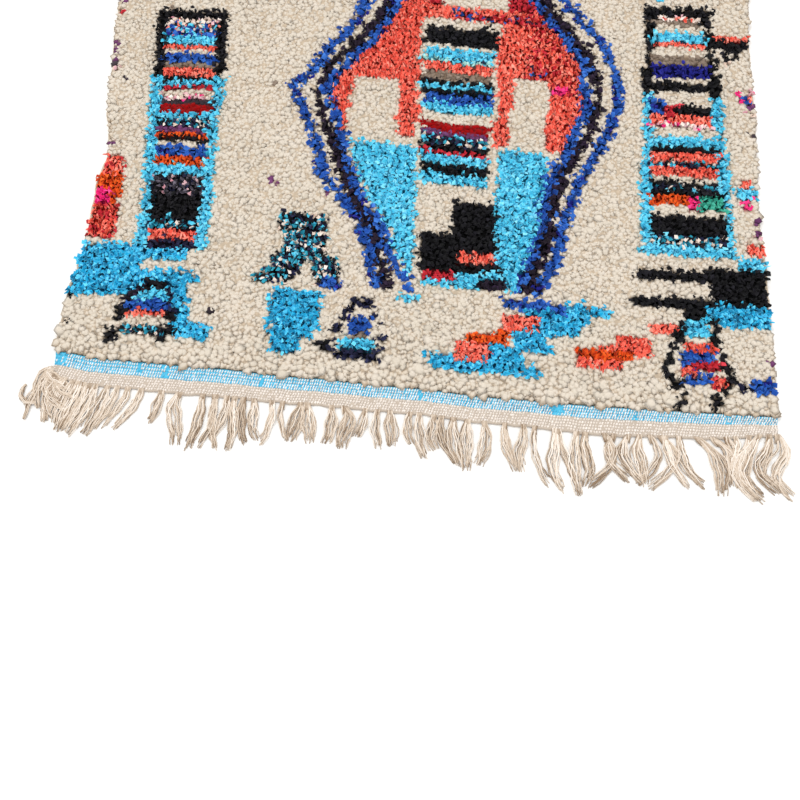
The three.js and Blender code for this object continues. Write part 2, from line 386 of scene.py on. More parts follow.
# %% The lozenge and its filling
LOZENGE = {
    "along": [200, 225, 255, 300, 350, 400, 450, 500, 560, 610,
              660, 690, 720, 760, 800, 850, 900, 1000, 1100],
    "outer_left": [-92, -96, -111, -117, -135, -173, -222, -230, -255, -278,
                   -300, -268, -250, -231, -204, -174, -157, -80, -8],
    "dark_left": [-69, -71, -86, -101, -118, -150, -176, -194, -219, -242,
                  -246, -237, -223, -194, -164, -132, -113, -40, 28],
    "inner_left": [-30, -33, -57, -82, -95, -135, -156, -175, -194, -210,
                   -230, -217, -196, -167, -134, -115, -88, -16, 48],
    "inner_right": [182, 184, 194, 209, 227, 234, 238, 250, 281, 296,
                    316, 323, 317, 314, 306, 277, 232, 172, 96],
    "dark_right": [198, 200, 209, 230, 242, 251, 258, 270, 300, 323,
                   339, 346, 347, 338, 328, 299, 253, 195, 118],
    "outer_right": [221, 223, 234, 252, 268, 276, 291, 308, 339, 364,
                    380, 388, 388, 384, 373, 347, 308, 232, 150],
}
INNER_LINE = 19.0
OUTER_LINE = 21.0
DARK_LINE = 20.0
LEFT_START = 207
RIGHT_START = 233
MIDDLE = 60
CORAL_FROM = 556
BRICK_FROM = 700
BRICK_RIGHT_OF = 190
TURQUOISE_TO = (548, 556)
TURQUOISE_LEFT = -26
TURQUOISE_RIGHT = (136, 240)
SEAMS = (18, 6)


def edge_at(name):
    """The x of one line of the lozenge at every knot, straight between two rows of the table."""
    return np.interp(along, LOZENGE["along"], LOZENGE[name])


def paint_line(name, dye, width):
    """Ties the knots within half a width of a leaning line, measured square to the line."""
    slope = np.gradient(np.array(LOZENGE[name], float), LOZENGE["along"])
    reach = width / 2 * np.hypot(1, np.interp(along, LOZENGE["along"], slope))
    start = LEFT_START if name.endswith("left") else RIGHT_START
    paint((np.abs(across - edge_at(name)) < reach) & (along > start), dye)


whole = (across > edge_at("outer_left")) & (across < edge_at("outer_right"))
whole &= along > np.where(across < MIDDLE, LEFT_START, RIGHT_START)
inside = whole & (across > edge_at("inner_left")) & (across < edge_at("inner_right"))

left_fill = (across > edge_at("inner_left") + SEAMS[0]) & (across < TURQUOISE_LEFT)
right_fill = across > TURQUOISE_RIGHT[0]
right_fill &= across < np.minimum(edge_at("inner_right") - SEAMS[1], TURQUOISE_RIGHT[1])
paint(inside & (along > CORAL_FROM), "coral")
paint(inside & (along > BRICK_FROM) & (across > BRICK_RIGHT_OF), "brick_mix")
paint(inside & (along < TURQUOISE_TO[0]) & left_fill, "turquoise")
paint(inside & (along < TURQUOISE_TO[1]) & right_fill, "turquoise")
paint_blocks([
    Block("cream", 536, 704, -178, -76),
    Block("cream", 536, 562, -76, -20),
    Block("cream", 548, 566, -225, 270),
    Block("cream", 556, 650, 154, 236),
    Block("cream", 650, 734, 168, 246),
    Block("hot_pink", 696, 722, 248, 280),
    Block("ember_mix", 744, 762, 196, 246),
    Block("ember_mix", 872, 896, 30, 236),
    Block("red", 905, 962, -30, 4),
    Block("red", 905, 962, 152, 206),
    Block("cream", 909, 962, 4, 152),
    Block("ember_mix", 962, 985, -60, 230),
    Block("turquoise", 1010, 1034, -60, 220),
    Block("cream", 1034, 1056, -60, 220),
    Block("orange", 1056, 1080, -60, 220),
])
paint(whole & ~inside, "cream")
for side in ("left", "right"):
    paint_line(f"inner_{side}", "blue", INNER_LINE)
    paint_line(f"dark_{side}", "aubergine", DARK_LINE)
    paint_line(f"outer_{side}", "blue", OUTER_LINE)
print("lozenge knots:", int(whole.sum()))

# %% [markdown]
# ### The ladders
#
# A ladder is two rails with rungs of every rag that was at hand. Each rung is one to five rows of
# knots, so a ladder is a short list of dyes and rows, read from its top down. The rungs waver by a few
# millimetres, because the weaver packs a row down harder in one place than in another.

# %% The three ladders
# A ladder's row: its top along the rug, the x of its left side at the foot and at the top, the same of
# its right side, the width of a rail, and the rungs. RAILS then gives each rail's dyes from and to.
Ladder = namedtuple("Ladder", "top left_low left_high right_low right_high rail rungs")
LADDERS = [
    Ladder(838, -576, -611, -440, -458, 17, [
        ("black", 2), ("shell_mix", 1), ("bright_mix", 2), ("dotted_blue_mix", 1), ("turquoise", 2),
        ("coral", 1), ("cream", 1), ("blue", 2), ("taupe", 1), ("coral", 2), ("black", 1),
        ("turquoise", 1), ("red", 1), ("cream", 1), ("rose_mix", 1), ("charcoal", 1),
        ("deep_red", 2), ("turquoise", 1), ("night_mix", 2), ("purple", 1), ("orange", 1),
        ("black", 1), ("cream", 1), ("blue", 2), ("orange", 2), ("turquoise", 2), ("ash_mix", 4),
        ("black", 5), ("night_mix", 2), ("coral", 2), ("navy", 2)]),
    Ladder(847, -18, -30, 116, 126, 0, [
        ("black", 4), ("cream", 1), ("turquoise", 2), ("aqua_mix", 1), ("coral", 2), ("taupe", 2),
        ("black", 1), ("turquoise", 1), ("black", 1), ("blue", 2), ("turquoise", 2), ("cream", 2),
        ("deep_red", 2), ("purple", 1), ("night_mix", 2), ("black", 1), ("red", 1),
        ("turquoise", 2), ("black", 2), ("turquoise", 2), ("cream", 3)]),
    Ladder(948, 430, 449, 623, 590, 17, [
        ("black", 2), ("shell_mix", 1), ("taupe", 1), ("cream", 2), ("turquoise", 2), ("coral", 1),
        ("cream", 2), ("taupe", 2), ("ultramarine", 3), ("cream", 1), ("black", 2), ("cream", 3),
        ("black", 2), ("coral", 2), ("rose_mix", 1), ("cream", 2), ("turquoise", 2), ("black", 1),
        ("coral", 2), ("night_mix", 1), ("coral", 2), ("cream", 1), ("black", 1),
        ("night_mix", 1), ("black", 1), ("orange", 2), ("cream", 2), ("black", 4),
        ("night_mix", 2), ("turquoise", 2)]),
]
RAILS = {
    0: [("turquoise", 0, 668), ("black", 668, 838)],
    2: [("turquoise", 0, 727), ("black", 727, 948)],
}
GUTTER = (245, 868)
GUTTER_WIDE = (11, 9)


def ladder_sides(ladder, place):
    """The left and right side of a ladder at places along, each a straight line."""
    low = ladder.top - ROW_PITCH * sum(rows for _, rows in ladder.rungs)
    share = (place - low) / (ladder.top - low)
    left = ladder.left_low + (ladder.left_high - ladder.left_low) * share
    return left, ladder.right_low + (ladder.right_high - ladder.right_low) * share, low


def paint_ladder(number):
    """The rungs of a ladder from its top down, then its rails over their ends."""
    ladder = LADDERS[number]
    left, right, low = ladder_sides(ladder, along)
    body = (across > left) & (across < right)
    row_down = np.round((ladder.top - along) / ROW_PITCH - 0.5)
    first = 0
    for dye, rows in ladder.rungs:
        paint(body & (row_down >= first) & (row_down < first + rows), dye)
        first += rows
    for dye, start, stop in RAILS.get(number, []):
        rails = (across < left + ladder.rail) | (across > right - ladder.rail)
        paint(body & rails & (along > max(start, low)) & (along < stop), dye)


# The middle ladder stands in a gutter of cream.
gutter_left, gutter_right, _ = ladder_sides(LADDERS[1], along)
gutter = (across > gutter_left - GUTTER_WIDE[0]) & (across < gutter_right + GUTTER_WIDE[1])
paint(gutter & (along > GUTTER[0]) & (along < GUTTER[1]) & inside, "cream")
for number in range(len(LADDERS)):
    paint_ladder(number)
print("rungs:", [len(ladder.rungs) for ladder in LADDERS])

# %% [markdown]
# ### The small motifs
#
# These are short stacks of blocks: the step below the middle ladder, the comb, the zigzags, the
# figures in their dotted outlines and the patches at the edges.

# %% Patches, combs and zigzags
paint_blocks([
    Block("brick_mix", 420, 468, -720, -630),
    Block("orange", 384, 420, -720, -629),
    Block("hot_pink", 354, 384, -720, -645),
    Block("orange", 354, 384, -645, -630),
    Block("brick_mix", 276, 354, -720, -622, -0.06),
    Block("lagoon", 144, 262, -730, -554, -0.14),
    Block("lagoon", 227, 257, -575, -470),
    Block("lagoon", 182, 211, -575, -453),
    Block("lagoon", 128, 184, -592, -459),
    Block("lagoon", 95, 128, -505, -452),
    Block("lagoon", 53, 97, -495, -411),
])
paint_blocks([
    Block("night_mix", 262, 350, -292, -197),
    Block("night_mix", 200, 262, -340, -268, 0.75),
    Block("night_mix", 199, 265, -212, -160, -0.25),
    Block("blue", 197, 216, -207, -164),
    Block("lagoon", 105, 184, -296, -203),
    Block("lagoon", 81, 105, -294, -212),
    Block("lagoon", 51, 81, -288, -230),
])
paint_blocks([
    Block("cream", 245, 424, -25, 126),
    Block("black", 344, 424, 50, 136),
    Block("black", 311, 344, -17, 140),
    Block("black", 257, 311, -14, 62),
    Block("coral", 291, 312, 60, 141),
    Block("black", 268, 291, 5, 147),
    Block("turquoise", 233, 262, 62, 182),
    Block("turquoise", 230, 246, 2, 70),
    Block("red", 245, 268, -6, 62),
    Block("aubergine", 224, 247, 108, 162),
    Block("turquoise", 180, 198, -52, -10),
])
paint_blocks([
    Block("blue", 195, 213, 162, 281),
    Block("lagoon", 198, 222, 281, 362),
    Block("lagoon", 168, 200, 226, 320),
    Block("lagoon", 182, 200, 200, 230),
    Block("lagoon", 148, 168, 216, 308),
    Block("lagoon", 108, 150, 180, 252),
    Block("lagoon", 80, 112, 136, 206),
    Block("lagoon", 47, 69, 110, 237),
    Block("lagoon", 68, 80, 18, 200),
    Block("lagoon", 47, 69, 21, 110),
    Block("coral", 148, 188, 160, 229),
    Block("orange", 134, 150, 148, 180),
    Block("orange", 112, 134, 88, 170),
    Block("coral", 70, 114, 72, 136),
    Block("coral", 169, 190, 441, 497),
    Block("coral", 139, 162, 380, 449),
    Block("coral", 112, 140, 342, 443),
    Block("orange", 98, 127, 306, 411),
    Block("coral", 82, 106, 302, 392),
])
paint_blocks([
    Block("black", 292, 312, 420, 568),
    Block("black", 244, 318, 564, 720),
    Block("black", 233, 252, 412, 568),
    Block("black", 207, 250, 514, 562),
    Block("lagoon", 196, 241, 562, 720),
])
print("knots with a motif so far:", int((dyed != NAMES.index("cream")).sum()))

# %% [markdown]
# ### The figures
#
# The small figures near the end stand in outlines of single dark knots, with cream knots between. Such
# an outline is a short list of places, each a distance along and across, and ties the knots close by.

# %% Figures and scraps at the edges
def string_of_knots(dye, reach, *places):
    """Ties every knot within a reach of any (along, across) place, a knot or two at each."""
    places = np.array(places, float)
    away = np.hypot(along[..., None] - places[:, 0], knot_x[..., None] - places[:, 1])
    paint(away.min(axis=-1) < reach, dye)


paint_blocks([
    Block("black", 162, 184, -551, -508),
    Block("turquoise", 142, 163, -562, -512),
    Block("blue", 118, 143, -574, -499),
    Block("coral", 97, 119, -578, -504),
    Block("cream", 77, 98, -592, -500),
    Block("night_mix", 55, 78, -584, -494),
    Block("black", 92, 122, -601, -578),
    Block("black", 35, 70, -612, -592, 0.2),
    Block("black", 90, 120, -502, -481),
    Block("black", 62, 80, -500, -480),
    Block("black", 42, 62, -510, -494),
])
string_of_knots("aubergine", 7.5, (168, -560), (154, -566), (140, -577), (128, -586))
string_of_knots("navy", 7.5, (162, -504), (149, -496), (136, -492), (122, -488))
paint_blocks([
    Block("navy", 158, 178, -142, -98),
    Block("blue", 107, 136, -148, -95),
    Block("taupe", 95, 107, -136, -98),
    Block("turquoise", 72, 96, -153, -90),
    Block("navy", 49, 70, -172, -74),
    Block("black", 60, 84, -196, -172),
])
string_of_knots("navy", 7.9, (85, -171), (104, -166), (120, -160), (137, -154), (150, -145),
                (160, -134), (166, -120), (163, -104), (150, -92), (132, -84), (101, -78), (78, -70))
paint_blocks([
    Block("turquoise", 170, 208, 512, 562),
    Block("coral", 136, 160, 508, 570),
    Block("blue", 106, 134, 500, 570),
    Block("red", 90, 112, 516, 578),
    Block("coral", 84, 102, 498, 530),
    Block("blue", 52, 82, 508, 557),
    Block("brick_mix", 48, 84, 554, 588),
    Block("navy", 46, 68, 612, 646),
    Block("blue", 45, 78, 640, 720),
])
string_of_knots("black", 8.6, (197, 506), (184, 504), (172, 502), (160, 499), (146, 492), (130, 486),
                (114, 481), (99, 475), (84, 474), (75, 482), (62, 493), (49, 491), (24, 512),
                (14, 500))
string_of_knots("black", 8.6, (198, 569), (184, 571), (168, 569), (160, 577), (147, 574), (134, 585),
                (118, 588), (104, 591), (92, 600), (77, 603), (61, 596), (48, 588), (27, 578),
                (19, 564))
string_of_knots("black", 9.5, (24, 572), (15, 566))
paint_blocks([
    Block("coral", 866, 886, 592, 720),
    Block("black", 846, 866, 590, 720),
    Block("black", 818, 848, 612, 642),
    Block("cream", 826, 840, 620, 634),
    Block("hot_pink", 712, 740, 636, 652),
    Block("blue", 716, 738, 650, 662),
    Block("coral", 716, 738, 660, 672),
    Block("lime", 716, 738, 671, 684),
    Block("coral", 504, 527, 632, 662),
    Block("turquoise", 480, 504, 624, 664),
    Block("hot_pink", 459, 480, 632, 660),
    Block("coral", 354, 376, 640, 720),
    Block("turquoise", 316, 340, 624, 720),
    Block("blue", 680, 706, 452, 486),
    Block("red", 668, 700, 486, 512),
    Block("hot_pink", 452, 482, 528, 548),
    Block("sea", 452, 482, 548, 600),
    Block("taupe", 906, 920, 462, 530),
])

print("knots with a motif so far:", int((dyed != NAMES.index("cream")).sum()))

# %% [markdown]
# ### Odd knots
#
# Here and there the weaver joined in what was left over, and a spot or two has been darned. The knots
# that show in the photograph are in a list. The two outermost columns and whatever is blue have a few
# more, drawn at random.

# %% Left-over yarn and darned spots
ODD_KNOTS = {
    "purple": [(429, -327), (421, -315), (406, -203), (393, -686), (405, -684), (527, 668), (411, 666)],
    "charcoal": [(121, -413), (690, -689), (662, -662), (632, 674), (641, 668)],
    "taupe": [(656, -340), (847, -583), (214, 330)],
    "black": [(146, -700), (138, -690), (74, -700)],
    "red": [(835, -693), (652, -692)],
    "shell": [(810, 621)],
    "turquoise": [(971, 481)],
    "hot_pink": [(866, 676)],
}
ODD_REACH = 6.4
OUTERMOST = np.isin(np.arange(COLUMNS), [0, COLUMNS - 1])
ODD_SHARES = [
    ("purple", "cream", OUTERMOST, 0.07),
    ("rose_mix", "cream", OUTERMOST, 0.05),
    ("ultramarine", "blue", True, 0.05),
]

for dye, places in ODD_KNOTS.items():
    string_of_knots(dye, ODD_REACH, *places)
for dye, instead_of, where, share in ODD_SHARES:
    drawn = chance.random(dyed.shape) < share
    paint(drawn & where & (dyed == NAMES.index(instead_of)), dye)
counts = {name: int((dyed == i).sum()) for i, name in enumerate(NAMES)}
print("knots by dye:", {name: count for name, count in counts.items() if count})

# %% [markdown]
# ## The shape of a knot
#
# Seen from above, a wool knot is a few soft ends that felt together with their neighbours. A rag knot
# is three to six stiff strips that stand up, fold over and curl. An end of either kind is one closed
# form: a rim of points with a crown above it and a plain underside, which costs less than two
# triangles for each rim point. With nearly seventy thousand copies a form has to be that light. What
# makes it wool or rag is where its rim runs.

# %% The faces of a form with a rim and a crown
PILE = 15.0
LOBE_SIDES = 5
PETAL_SIDES = 6


def rimmed_faces(sides, copies):
    """Triangles of copies of a form: from each rim edge up to the crown, then a fan below the rim."""
    here = np.arange(sides)
    above = np.stack([here, (here + 1) % sides, np.full(sides, sides)], axis=1)
    below = np.stack([np.zeros(sides - 2, int), here[2:], here[1:-1]], axis=1)
    starts = np.arange(copies)[:, None, None] * (sides + 1)
    return (np.concatenate([above, below])[None] + starts).reshape(-1, 3)


for kind, sides in (("wool", LOBE_SIDES), ("rag", PETAL_SIDES)):
    print("triangles of an end of", kind, len(rimmed_faces(sides, 1)))

# %% A soft end of wool
RIM_UNEVEN = (-0.16, 0.14)
RIM_LEVEL = 0.77
LEVEL_UNEVEN = (-0.06, 0.06)


def wool_lobes(width, length, height):
    """Soft ends: an uneven rim at radius r(turn), about three quarters up, and a blunt crown on it."""
    count = len(width)
    turn = np.arange(LOBE_SIDES) * 2 * np.pi / LOBE_SIDES
    swell = 0.5 + chance.uniform(*RIM_UNEVEN, (count, LOBE_SIDES))
    none = np.zeros((count, 1))
    level = RIM_LEVEL + chance.uniform(*LEVEL_UNEVEN, (count, LOBE_SIDES))
    return np.stack([
        width[:, None] * np.append(swell * np.cos(turn), none, axis=1),
        length[:, None] * np.append(swell * np.sin(turn), none, axis=1),
        height[:, None] * np.append(level, none + 1, axis=1),
    ], axis=-1)


print("rim of a wool end at", RIM_LEVEL * PILE, "mm of", PILE, "mm")

# %% A cut strip of rag
# The seven points of a strip: how far along it each lies, on which side, and whether it is the crown.
PETAL_STATION = np.array([0, 0.5, 1, 1, 0.5, 0, 0.55])
PETAL_ACROSS = np.array([-1, -1, -1, 1, 1, 1, 0])
PETAL_CROWN = np.array([0, 0, 0, 0, 0, 0, 1])
PETAL_FORM = {
    "station": [0, 0.5, 1],
    "up": [0.2, 0.96, 0.96],
    "out": [0.0, 0.3, 1.0],
    "narrow": [0.6, 1.0, 0.75],
}


def rag_petals(width, reach, height, fold, roll, droop):
    """Strips of two parameters, how far along and how far across: up, then over, then drooping."""
    up, out, narrow = (np.interp(PETAL_STATION, PETAL_FORM["station"], PETAL_FORM[column])
                       for column in ("up", "out", "narrow"))
    hang = droop[:, None] * np.clip(PETAL_STATION * 2 - 1, 0, 1)
    x = width[:, None] / 2 * PETAL_ACROSS * narrow
    y = np.broadcast_to(-reach[:, None] * out, x.shape)
    z = height[:, None] * up - hang + fold[:, None] * PETAL_CROWN + roll[:, None] * x
    return np.stack([x, y, z], axis=-1)


print("points of a strip of rag:", len(PETAL_STATION))

# %% Set the forms down on the cloth
LOWEST = 1.0
HIGHEST = 19.0


def set_down(forms, centre_x, centre_y, turn, lean_x, lean_y, roughness):
    """Turns each form about its root, leans it with the power of its height, and sets it in place."""
    cos, sin = np.cos(turn)[:, None], np.sin(turn)[:, None]
    x, y, z = forms[..., 0], forms[..., 1], forms[..., 2]
    lift = (np.clip(z, 0, None) / PILE) ** 1.5
    moved = np.stack([
        cos * x - sin * y + lean_x[:, None] * lift + centre_x[:, None],
        sin * x + cos * y + lean_y[:, None] * lift + centre_y[:, None],
        z,
    ], axis=-1)
    moved += chance.normal(0, roughness, moved.shape)
    moved[..., 2] = np.clip(moved[..., 2], LOWEST, HIGHEST)
    return moved


print("every tuft stays between", LOWEST, "and", HIGHEST, "mm above the floor")

# %% [markdown]
# ## Materials of the pile
#
# Wool: hand-spun, undyed or dyed in the yarn, never shiny. What the eye sees is a soft felted surface,
# lighter on its crowns and brownish in its creases, which is painted shade with a little dirt. Cotton
# jersey: cut by scissors and crushed, with painted shade at its roots and a painted highlight on its cut
# edges, and each small crease catches the light in its own way.
#
# Three attributes carry this over the mesh: `tone` is one number for each tuft, `rise` goes from 0 at
# the root to 1 at the crown and sets the painted root shade, and `rim` is 1 on a cut edge, where the
# painted highlight goes.
#
# Noise stands for the fibres. Its crumbs are 3.4 mm wide on wool and 4.2 mm on rag, which is coarser
# than the real fibres, because those are too fine to show from two metres. A slow cloud, 130 mm wide,
# shifts the tone from one hank of yarn to the next.

# %% The finish of a dyed tuft
# A fibre's row: how close its crumbs are, how deep and how strong in tone, up to which rise a tuft has
# the full painted shade of its root, the tint of that shade, how much painted highlight a cut edge
# gets, its roughness and its gloss.
Fibre = namedtuple("Fibre", "crumb crumb_bump crumb_tone low root edge roughness gloss")
FIBRES = {
    "wool": Fibre(1 / 0.0034, 0.0019, 0.36, 0.74, "#eee0cf", 0.0, 0.95, 0.1),
    "rag": Fibre(1 / 0.0042, 0.0024, 0.5, 0.35, "#b2b2ba", 0.5, 0.74, 0.2),
}
MADE_AS = {"wool": "hand_spun_wool_", "rag": "cut_cotton_jersey_"}
CLOUD = 1 / 0.13
CLOUD_TONE = 0.5
FINE = 1 / 0.0013
# Between a fibre's low rise and this rise the painted shade of the root fades out.
CROWN_FROM = 0.94
# From this value of rim up, a cut edge gets its painted highlight.
EDGE_FROM = 0.72
# A sheen is right for pale wool. On a deep dye it would lie like dust, so those keep next to none.
CREAM_SHEEN = 0.2
DEEP_SHEEN = 0.03


def tuft_finish(name, dye):
    """A matt fibre: tone picks from three colours, roots get painted shade with a little dirt, cut edges
    a painted highlight, and creases break up the light.
    """
    fibre = FIBRES[dye.fibre]
    made, tree = blank_material(MADE_AS[dye.fibre] + name)
    tone = add(tree, "ShaderNodeAttribute", attribute_name="tone")
    rise = add(tree, "ShaderNodeAttribute", attribute_name="rise")
    rim = add(tree, "ShaderNodeAttribute", attribute_name="rim")
    place = add(tree, "ShaderNodeTexCoord")
    crumb = add(tree, "ShaderNodeTexNoise", {"Vector": place.outputs["Object"], "Scale": fibre.crumb,
                                             "Detail": 3.0, "Roughness": 0.6})
    cloud = add(tree, "ShaderNodeTexNoise", {"Vector": place.outputs["Object"], "Scale": CLOUD,
                                             "Detail": 2.0})
    small = add(tree, "ShaderNodeMath", {0: crumb.outputs["Fac"], 1: fibre.crumb_tone,
                                         2: -fibre.crumb_tone / 2}, operation="MULTIPLY_ADD")
    broad = add(tree, "ShaderNodeMath", {0: cloud.outputs["Fac"], 1: CLOUD_TONE, 2: -CLOUD_TONE / 2},
                operation="MULTIPLY_ADD")
    both = add(tree, "ShaderNodeMath", {0: small.outputs[0], 1: broad.outputs[0]}, operation="ADD")
    mixed = add(tree, "ShaderNodeMath", {0: tone.outputs["Fac"], 1: both.outputs[0]}, operation="ADD")
    ramp = add(tree, "ShaderNodeValToRGB", {"Fac": mixed.outputs[0]})
    ramp.color_ramp.elements[0].color = linear(dye.dark)
    ramp.color_ramp.elements[1].color = linear(dye.light)
    ramp.color_ramp.elements.new(0.5).color = linear(dye.middle)
    # Painted shade: below the crown the colour is multiplied towards the root tint.
    height = add(tree, "ShaderNodeMapRange", {"Value": rise.outputs["Fac"], "From Min": fibre.low,
                                              "From Max": CROWN_FROM, "To Min": 1.0, "To Max": 0.0})
    painted_root_shade = add(tree, "ShaderNodeMix", {"Factor": height.outputs["Result"], "A": ramp.outputs["Color"],
                                      "B": linear(fibre.root)},
              data_type="RGBA", blend_type="MULTIPLY")
    # Painted highlight: cut edges are mixed towards the dye's light tone.
    edge = add(tree, "ShaderNodeMapRange", {"Value": rim.outputs["Fac"], "From Min": EDGE_FROM,
                                            "From Max": 1.0, "To Max": fibre.edge})
    painted_edge_highlight = add(tree, "ShaderNodeMix", {"Factor": edge.outputs["Result"], "A": painted_root_shade.outputs["Result"],
                                       "B": linear(dye.light)}, data_type="RGBA")
    fine = add(tree, "ShaderNodeTexNoise", {"Vector": place.outputs["Object"], "Scale": FINE,
                                            "Detail": 2.0})
    creased = add(tree, "ShaderNodeBump", {"Height": crumb.outputs["Fac"], "Strength": 0.9,
                                           "Distance": fibre.crumb_bump})
    bump = add(tree, "ShaderNodeBump", {"Height": fine.outputs["Fac"], "Strength": 0.4,
                                        "Distance": 0.0006, "Normal": creased.outputs["Normal"]})
    surface = add(tree, "ShaderNodeBsdfPrincipled", {
        "Base Color": painted_edge_highlight.outputs["Result"],
        "Normal": bump.outputs["Normal"],
        "Roughness": fibre.roughness,
        "Specular IOR Level": fibre.gloss,
        "Sheen Weight": CREAM_SHEEN if name == "cream" else DEEP_SHEEN,
        "Sheen Roughness": 0.5,
    })
    add(tree, "ShaderNodeOutputMaterial", {"Surface": surface.outputs["BSDF"]})
    return made


finishes = {name: tuft_finish(name, dye) for name, dye in DYES.items()}
print("finishes of tufts:", len(finishes))

# %% [markdown]
# ## Tying the knots
#
# The pile falls towards the near end, where the weaver began, because each row was beaten down on the
# one before. The first and the last rows lie flatter, and their ends lean out over the edge of the flat
# weave. Towards both ends the pile is also more open: a wool knot there has two stout ends instead of
# three, and stands by itself with a crease around it.
#
# The rest of the near metre is seen from close by, so its knots have all their ends. Beyond it a knot
# has one or two ends less and the others are larger, which looks the same from where it is seen.

# %% How the knots stand, row by row
FULL_TO = 960.0
STOUT_ROWS = 100.0
OPEN_REACH = 110.0
FALL = -2.6
LAST_FALL = -0.5
LAST_ROWS = 16.0
LAST_SINK = 0.4
SINK_REACH = 9.0

wool_names = [name for name in DYE_NAMES if DYES[name].fibre == "wool"]
is_wool = np.isin(dyed, [NAMES.index(name) for name in wool_names])
is_odd = np.broadcast_to(np.arange(COLUMNS) % 2, dyed.shape)
sparse = knot_along > FULL_TO


def ends_of(where, ends):
    """A row for each end of each knot of a mask: place, row, dye, end number and number of ends."""
    many = ends[where]
    number = np.arange(many.sum()) - np.repeat(np.cumsum(many) - many, many)
    columns = [np.repeat(grid[where], many) for grid in (knot_x, knot_y, knot_along, dyed, is_odd)]
    return columns, number, np.repeat(many, many)


def falling(place):
    """How far ends lean along the rug: the usual fall, and outwards over the very last rows."""
    near = np.exp(-place / LAST_ROWS)
    far = np.exp(-(PILE_LENGTH - place) / LAST_ROWS)
    return FALL + LAST_FALL * near - (LAST_FALL + FALL) * far


def at_the_ends(place, reach):
    """1 at either end of the pile, fading towards the middle within a reach."""
    return np.exp(-np.minimum(place, PILE_LENGTH - place) / reach)


def sunk(place):
    """The share of its height that a knot keeps: the first and last rows lie flatter."""
    return 1 - LAST_SINK * at_the_ends(place, SINK_REACH)


print("wool:", int(is_wool.sum()), "knots, rag:", int((~is_wool).sum()), "knots")

# %% One piece or more for each dye
MOST_FACES = 190000


def tie(name, forms, tone, rise, rim, sides):
    """Makes the pieces of one dye, as many as keep each under the most faces."""
    wool = DYES[name].fibre == "wool"
    parts = math.ceil(len(forms) * (sides * 2 - 2) / MOST_FACES)
    for number, group in enumerate(np.array_split(np.arange(len(forms)), parts)):
        label = f"{name}_knots" + (f"_{number + 1}" if parts > 1 else "")
        piece(label, forms[group].reshape(-1, 3), rimmed_faces(sides, len(group)), finishes[name], {
            "tone": np.repeat(tone[group], sides + 1),
            "rise": rise[group].ravel(),
            "rim": np.tile(rim, len(group)),
        }, smooth=np.tile((np.arange(sides * 2 - 2) < sides) & wool, len(group)))


print("a piece has at most", MOST_FACES, "triangles")

# %% Tie the wool
# How many ends a knot has, and their size in millimetres. They are larger beyond FULL_TO, and larger
# and closer together at both ends of the pile. STAGGER sets every other end before or behind the row.
WOOL_ENDS = 3
STOUT_ENDS = 2
COLUMN_PITCH = 11.2
LOBE_WIDE = 14.1
LOBE_LONG = 16.9
LARGER_BEYOND = 1.14
LARGER_AT_ENDS = 0.26
LARGER_REACH = 80
CLOSER_AT_ENDS = 0.15
STAGGER = 2.9
WOOL_BACK = 2.0
# How much the ends differ: in size, height, place across and along, lean, surface and tone.
SIZE_SPREAD = 0.17
HEIGHT_SPREAD = 0.06
ACROSS_SPREAD = 1.7
ALONG_SPREAD = 1.9
WOOL_LEAN = 1.2
WOOL_ROUGH = 0.65
WOOL_TONE = 0.12

few = sparse | (along < STOUT_ROWS)
columns, number, many = ends_of(is_wool, np.where(few, STOUT_ENDS, WOOL_ENDS))
x, y, place, dye, odd = columns
count = len(x)
side = np.where((number + odd) % 2 == 0, -1, 1)
gather = 1 - CLOSER_AT_ENDS * at_the_ends(place, OPEN_REACH)
size = np.where(place > FULL_TO, LARGER_BEYOND, 1.0)
size = size * (1 + LARGER_AT_ENDS * at_the_ends(place, LARGER_REACH))
size = size * np.exp(chance.normal(0, SIZE_SPREAD, count))
height = PILE * (1 + chance.normal(0, HEIGHT_SPREAD, count)) * sunk(place)
lobes = wool_lobes(LOBE_WIDE * size, LOBE_LONG * size, height)
centre_x = x + (number - (many - 1) / 2) * (COLUMN_PITCH / many * gather)
centre_x = centre_x + chance.normal(0, ACROSS_SPREAD, count) * gather
centre_y = y + side * STAGGER * gather + WOOL_BACK + chance.normal(0, ALONG_SPREAD, count) * gather
turn = chance.uniform(0, 2 * np.pi, count)
lean_x = chance.normal(0, WOOL_LEAN, count)
lean_y = falling(place) + chance.normal(0, WOOL_LEAN, count)
lobes = set_down(lobes, centre_x, centre_y, turn, lean_x, lean_y, WOOL_ROUGH)
rise = lobes[..., 2] / (PILE * sunk(place)[:, None])
tone = np.clip(0.5 + WOOL_TONE * chance.standard_normal(count), 0, 1)
for name in wool_names:
    chosen = dye == NAMES.index(name)
    tie(name, lobes[chosen], tone[chosen], rise[chosen], np.zeros(LOBE_SIDES + 1), LOBE_SIDES)
print("ends of wool:", count)

# %% Tie the rag
# How each rag was cut: the width, reach and height of a strip in millimetres, how far strips turn from
# the fall of the pile in radians, and how many there are in a knot.
Cut = namedtuple("Cut", "width reach height spread many")
CUTS = {
    "turquoise": Cut(6.6, 11.0, 16.6, 1.3, 5),
    "lagoon": Cut(6.6, 11.0, 16.6, 1.3, 5),
    "coral": Cut(3.9, 12.0, 16.4, 0.55, 6),
    "orange": Cut(4.2, 11.5, 16.2, 0.6, 5),
    "blue": Cut(8.8, 12.2, 16.8, 1.1, 3),
    "aubergine": Cut(8.4, 12.0, 16.6, 1.1, 3),
    "black": Cut(7.4, 11.0, 16.8, 1.3, 3),
}
USUAL_CUT = Cut(6.6, 10.5, 16.6, 0.9, 3)
MIX_ENDS = 4
BROADER_BEYOND = 1.25
FOOT_RING = 3.0
RAG_BACK = 6.0
RAG_FALL = 0.6
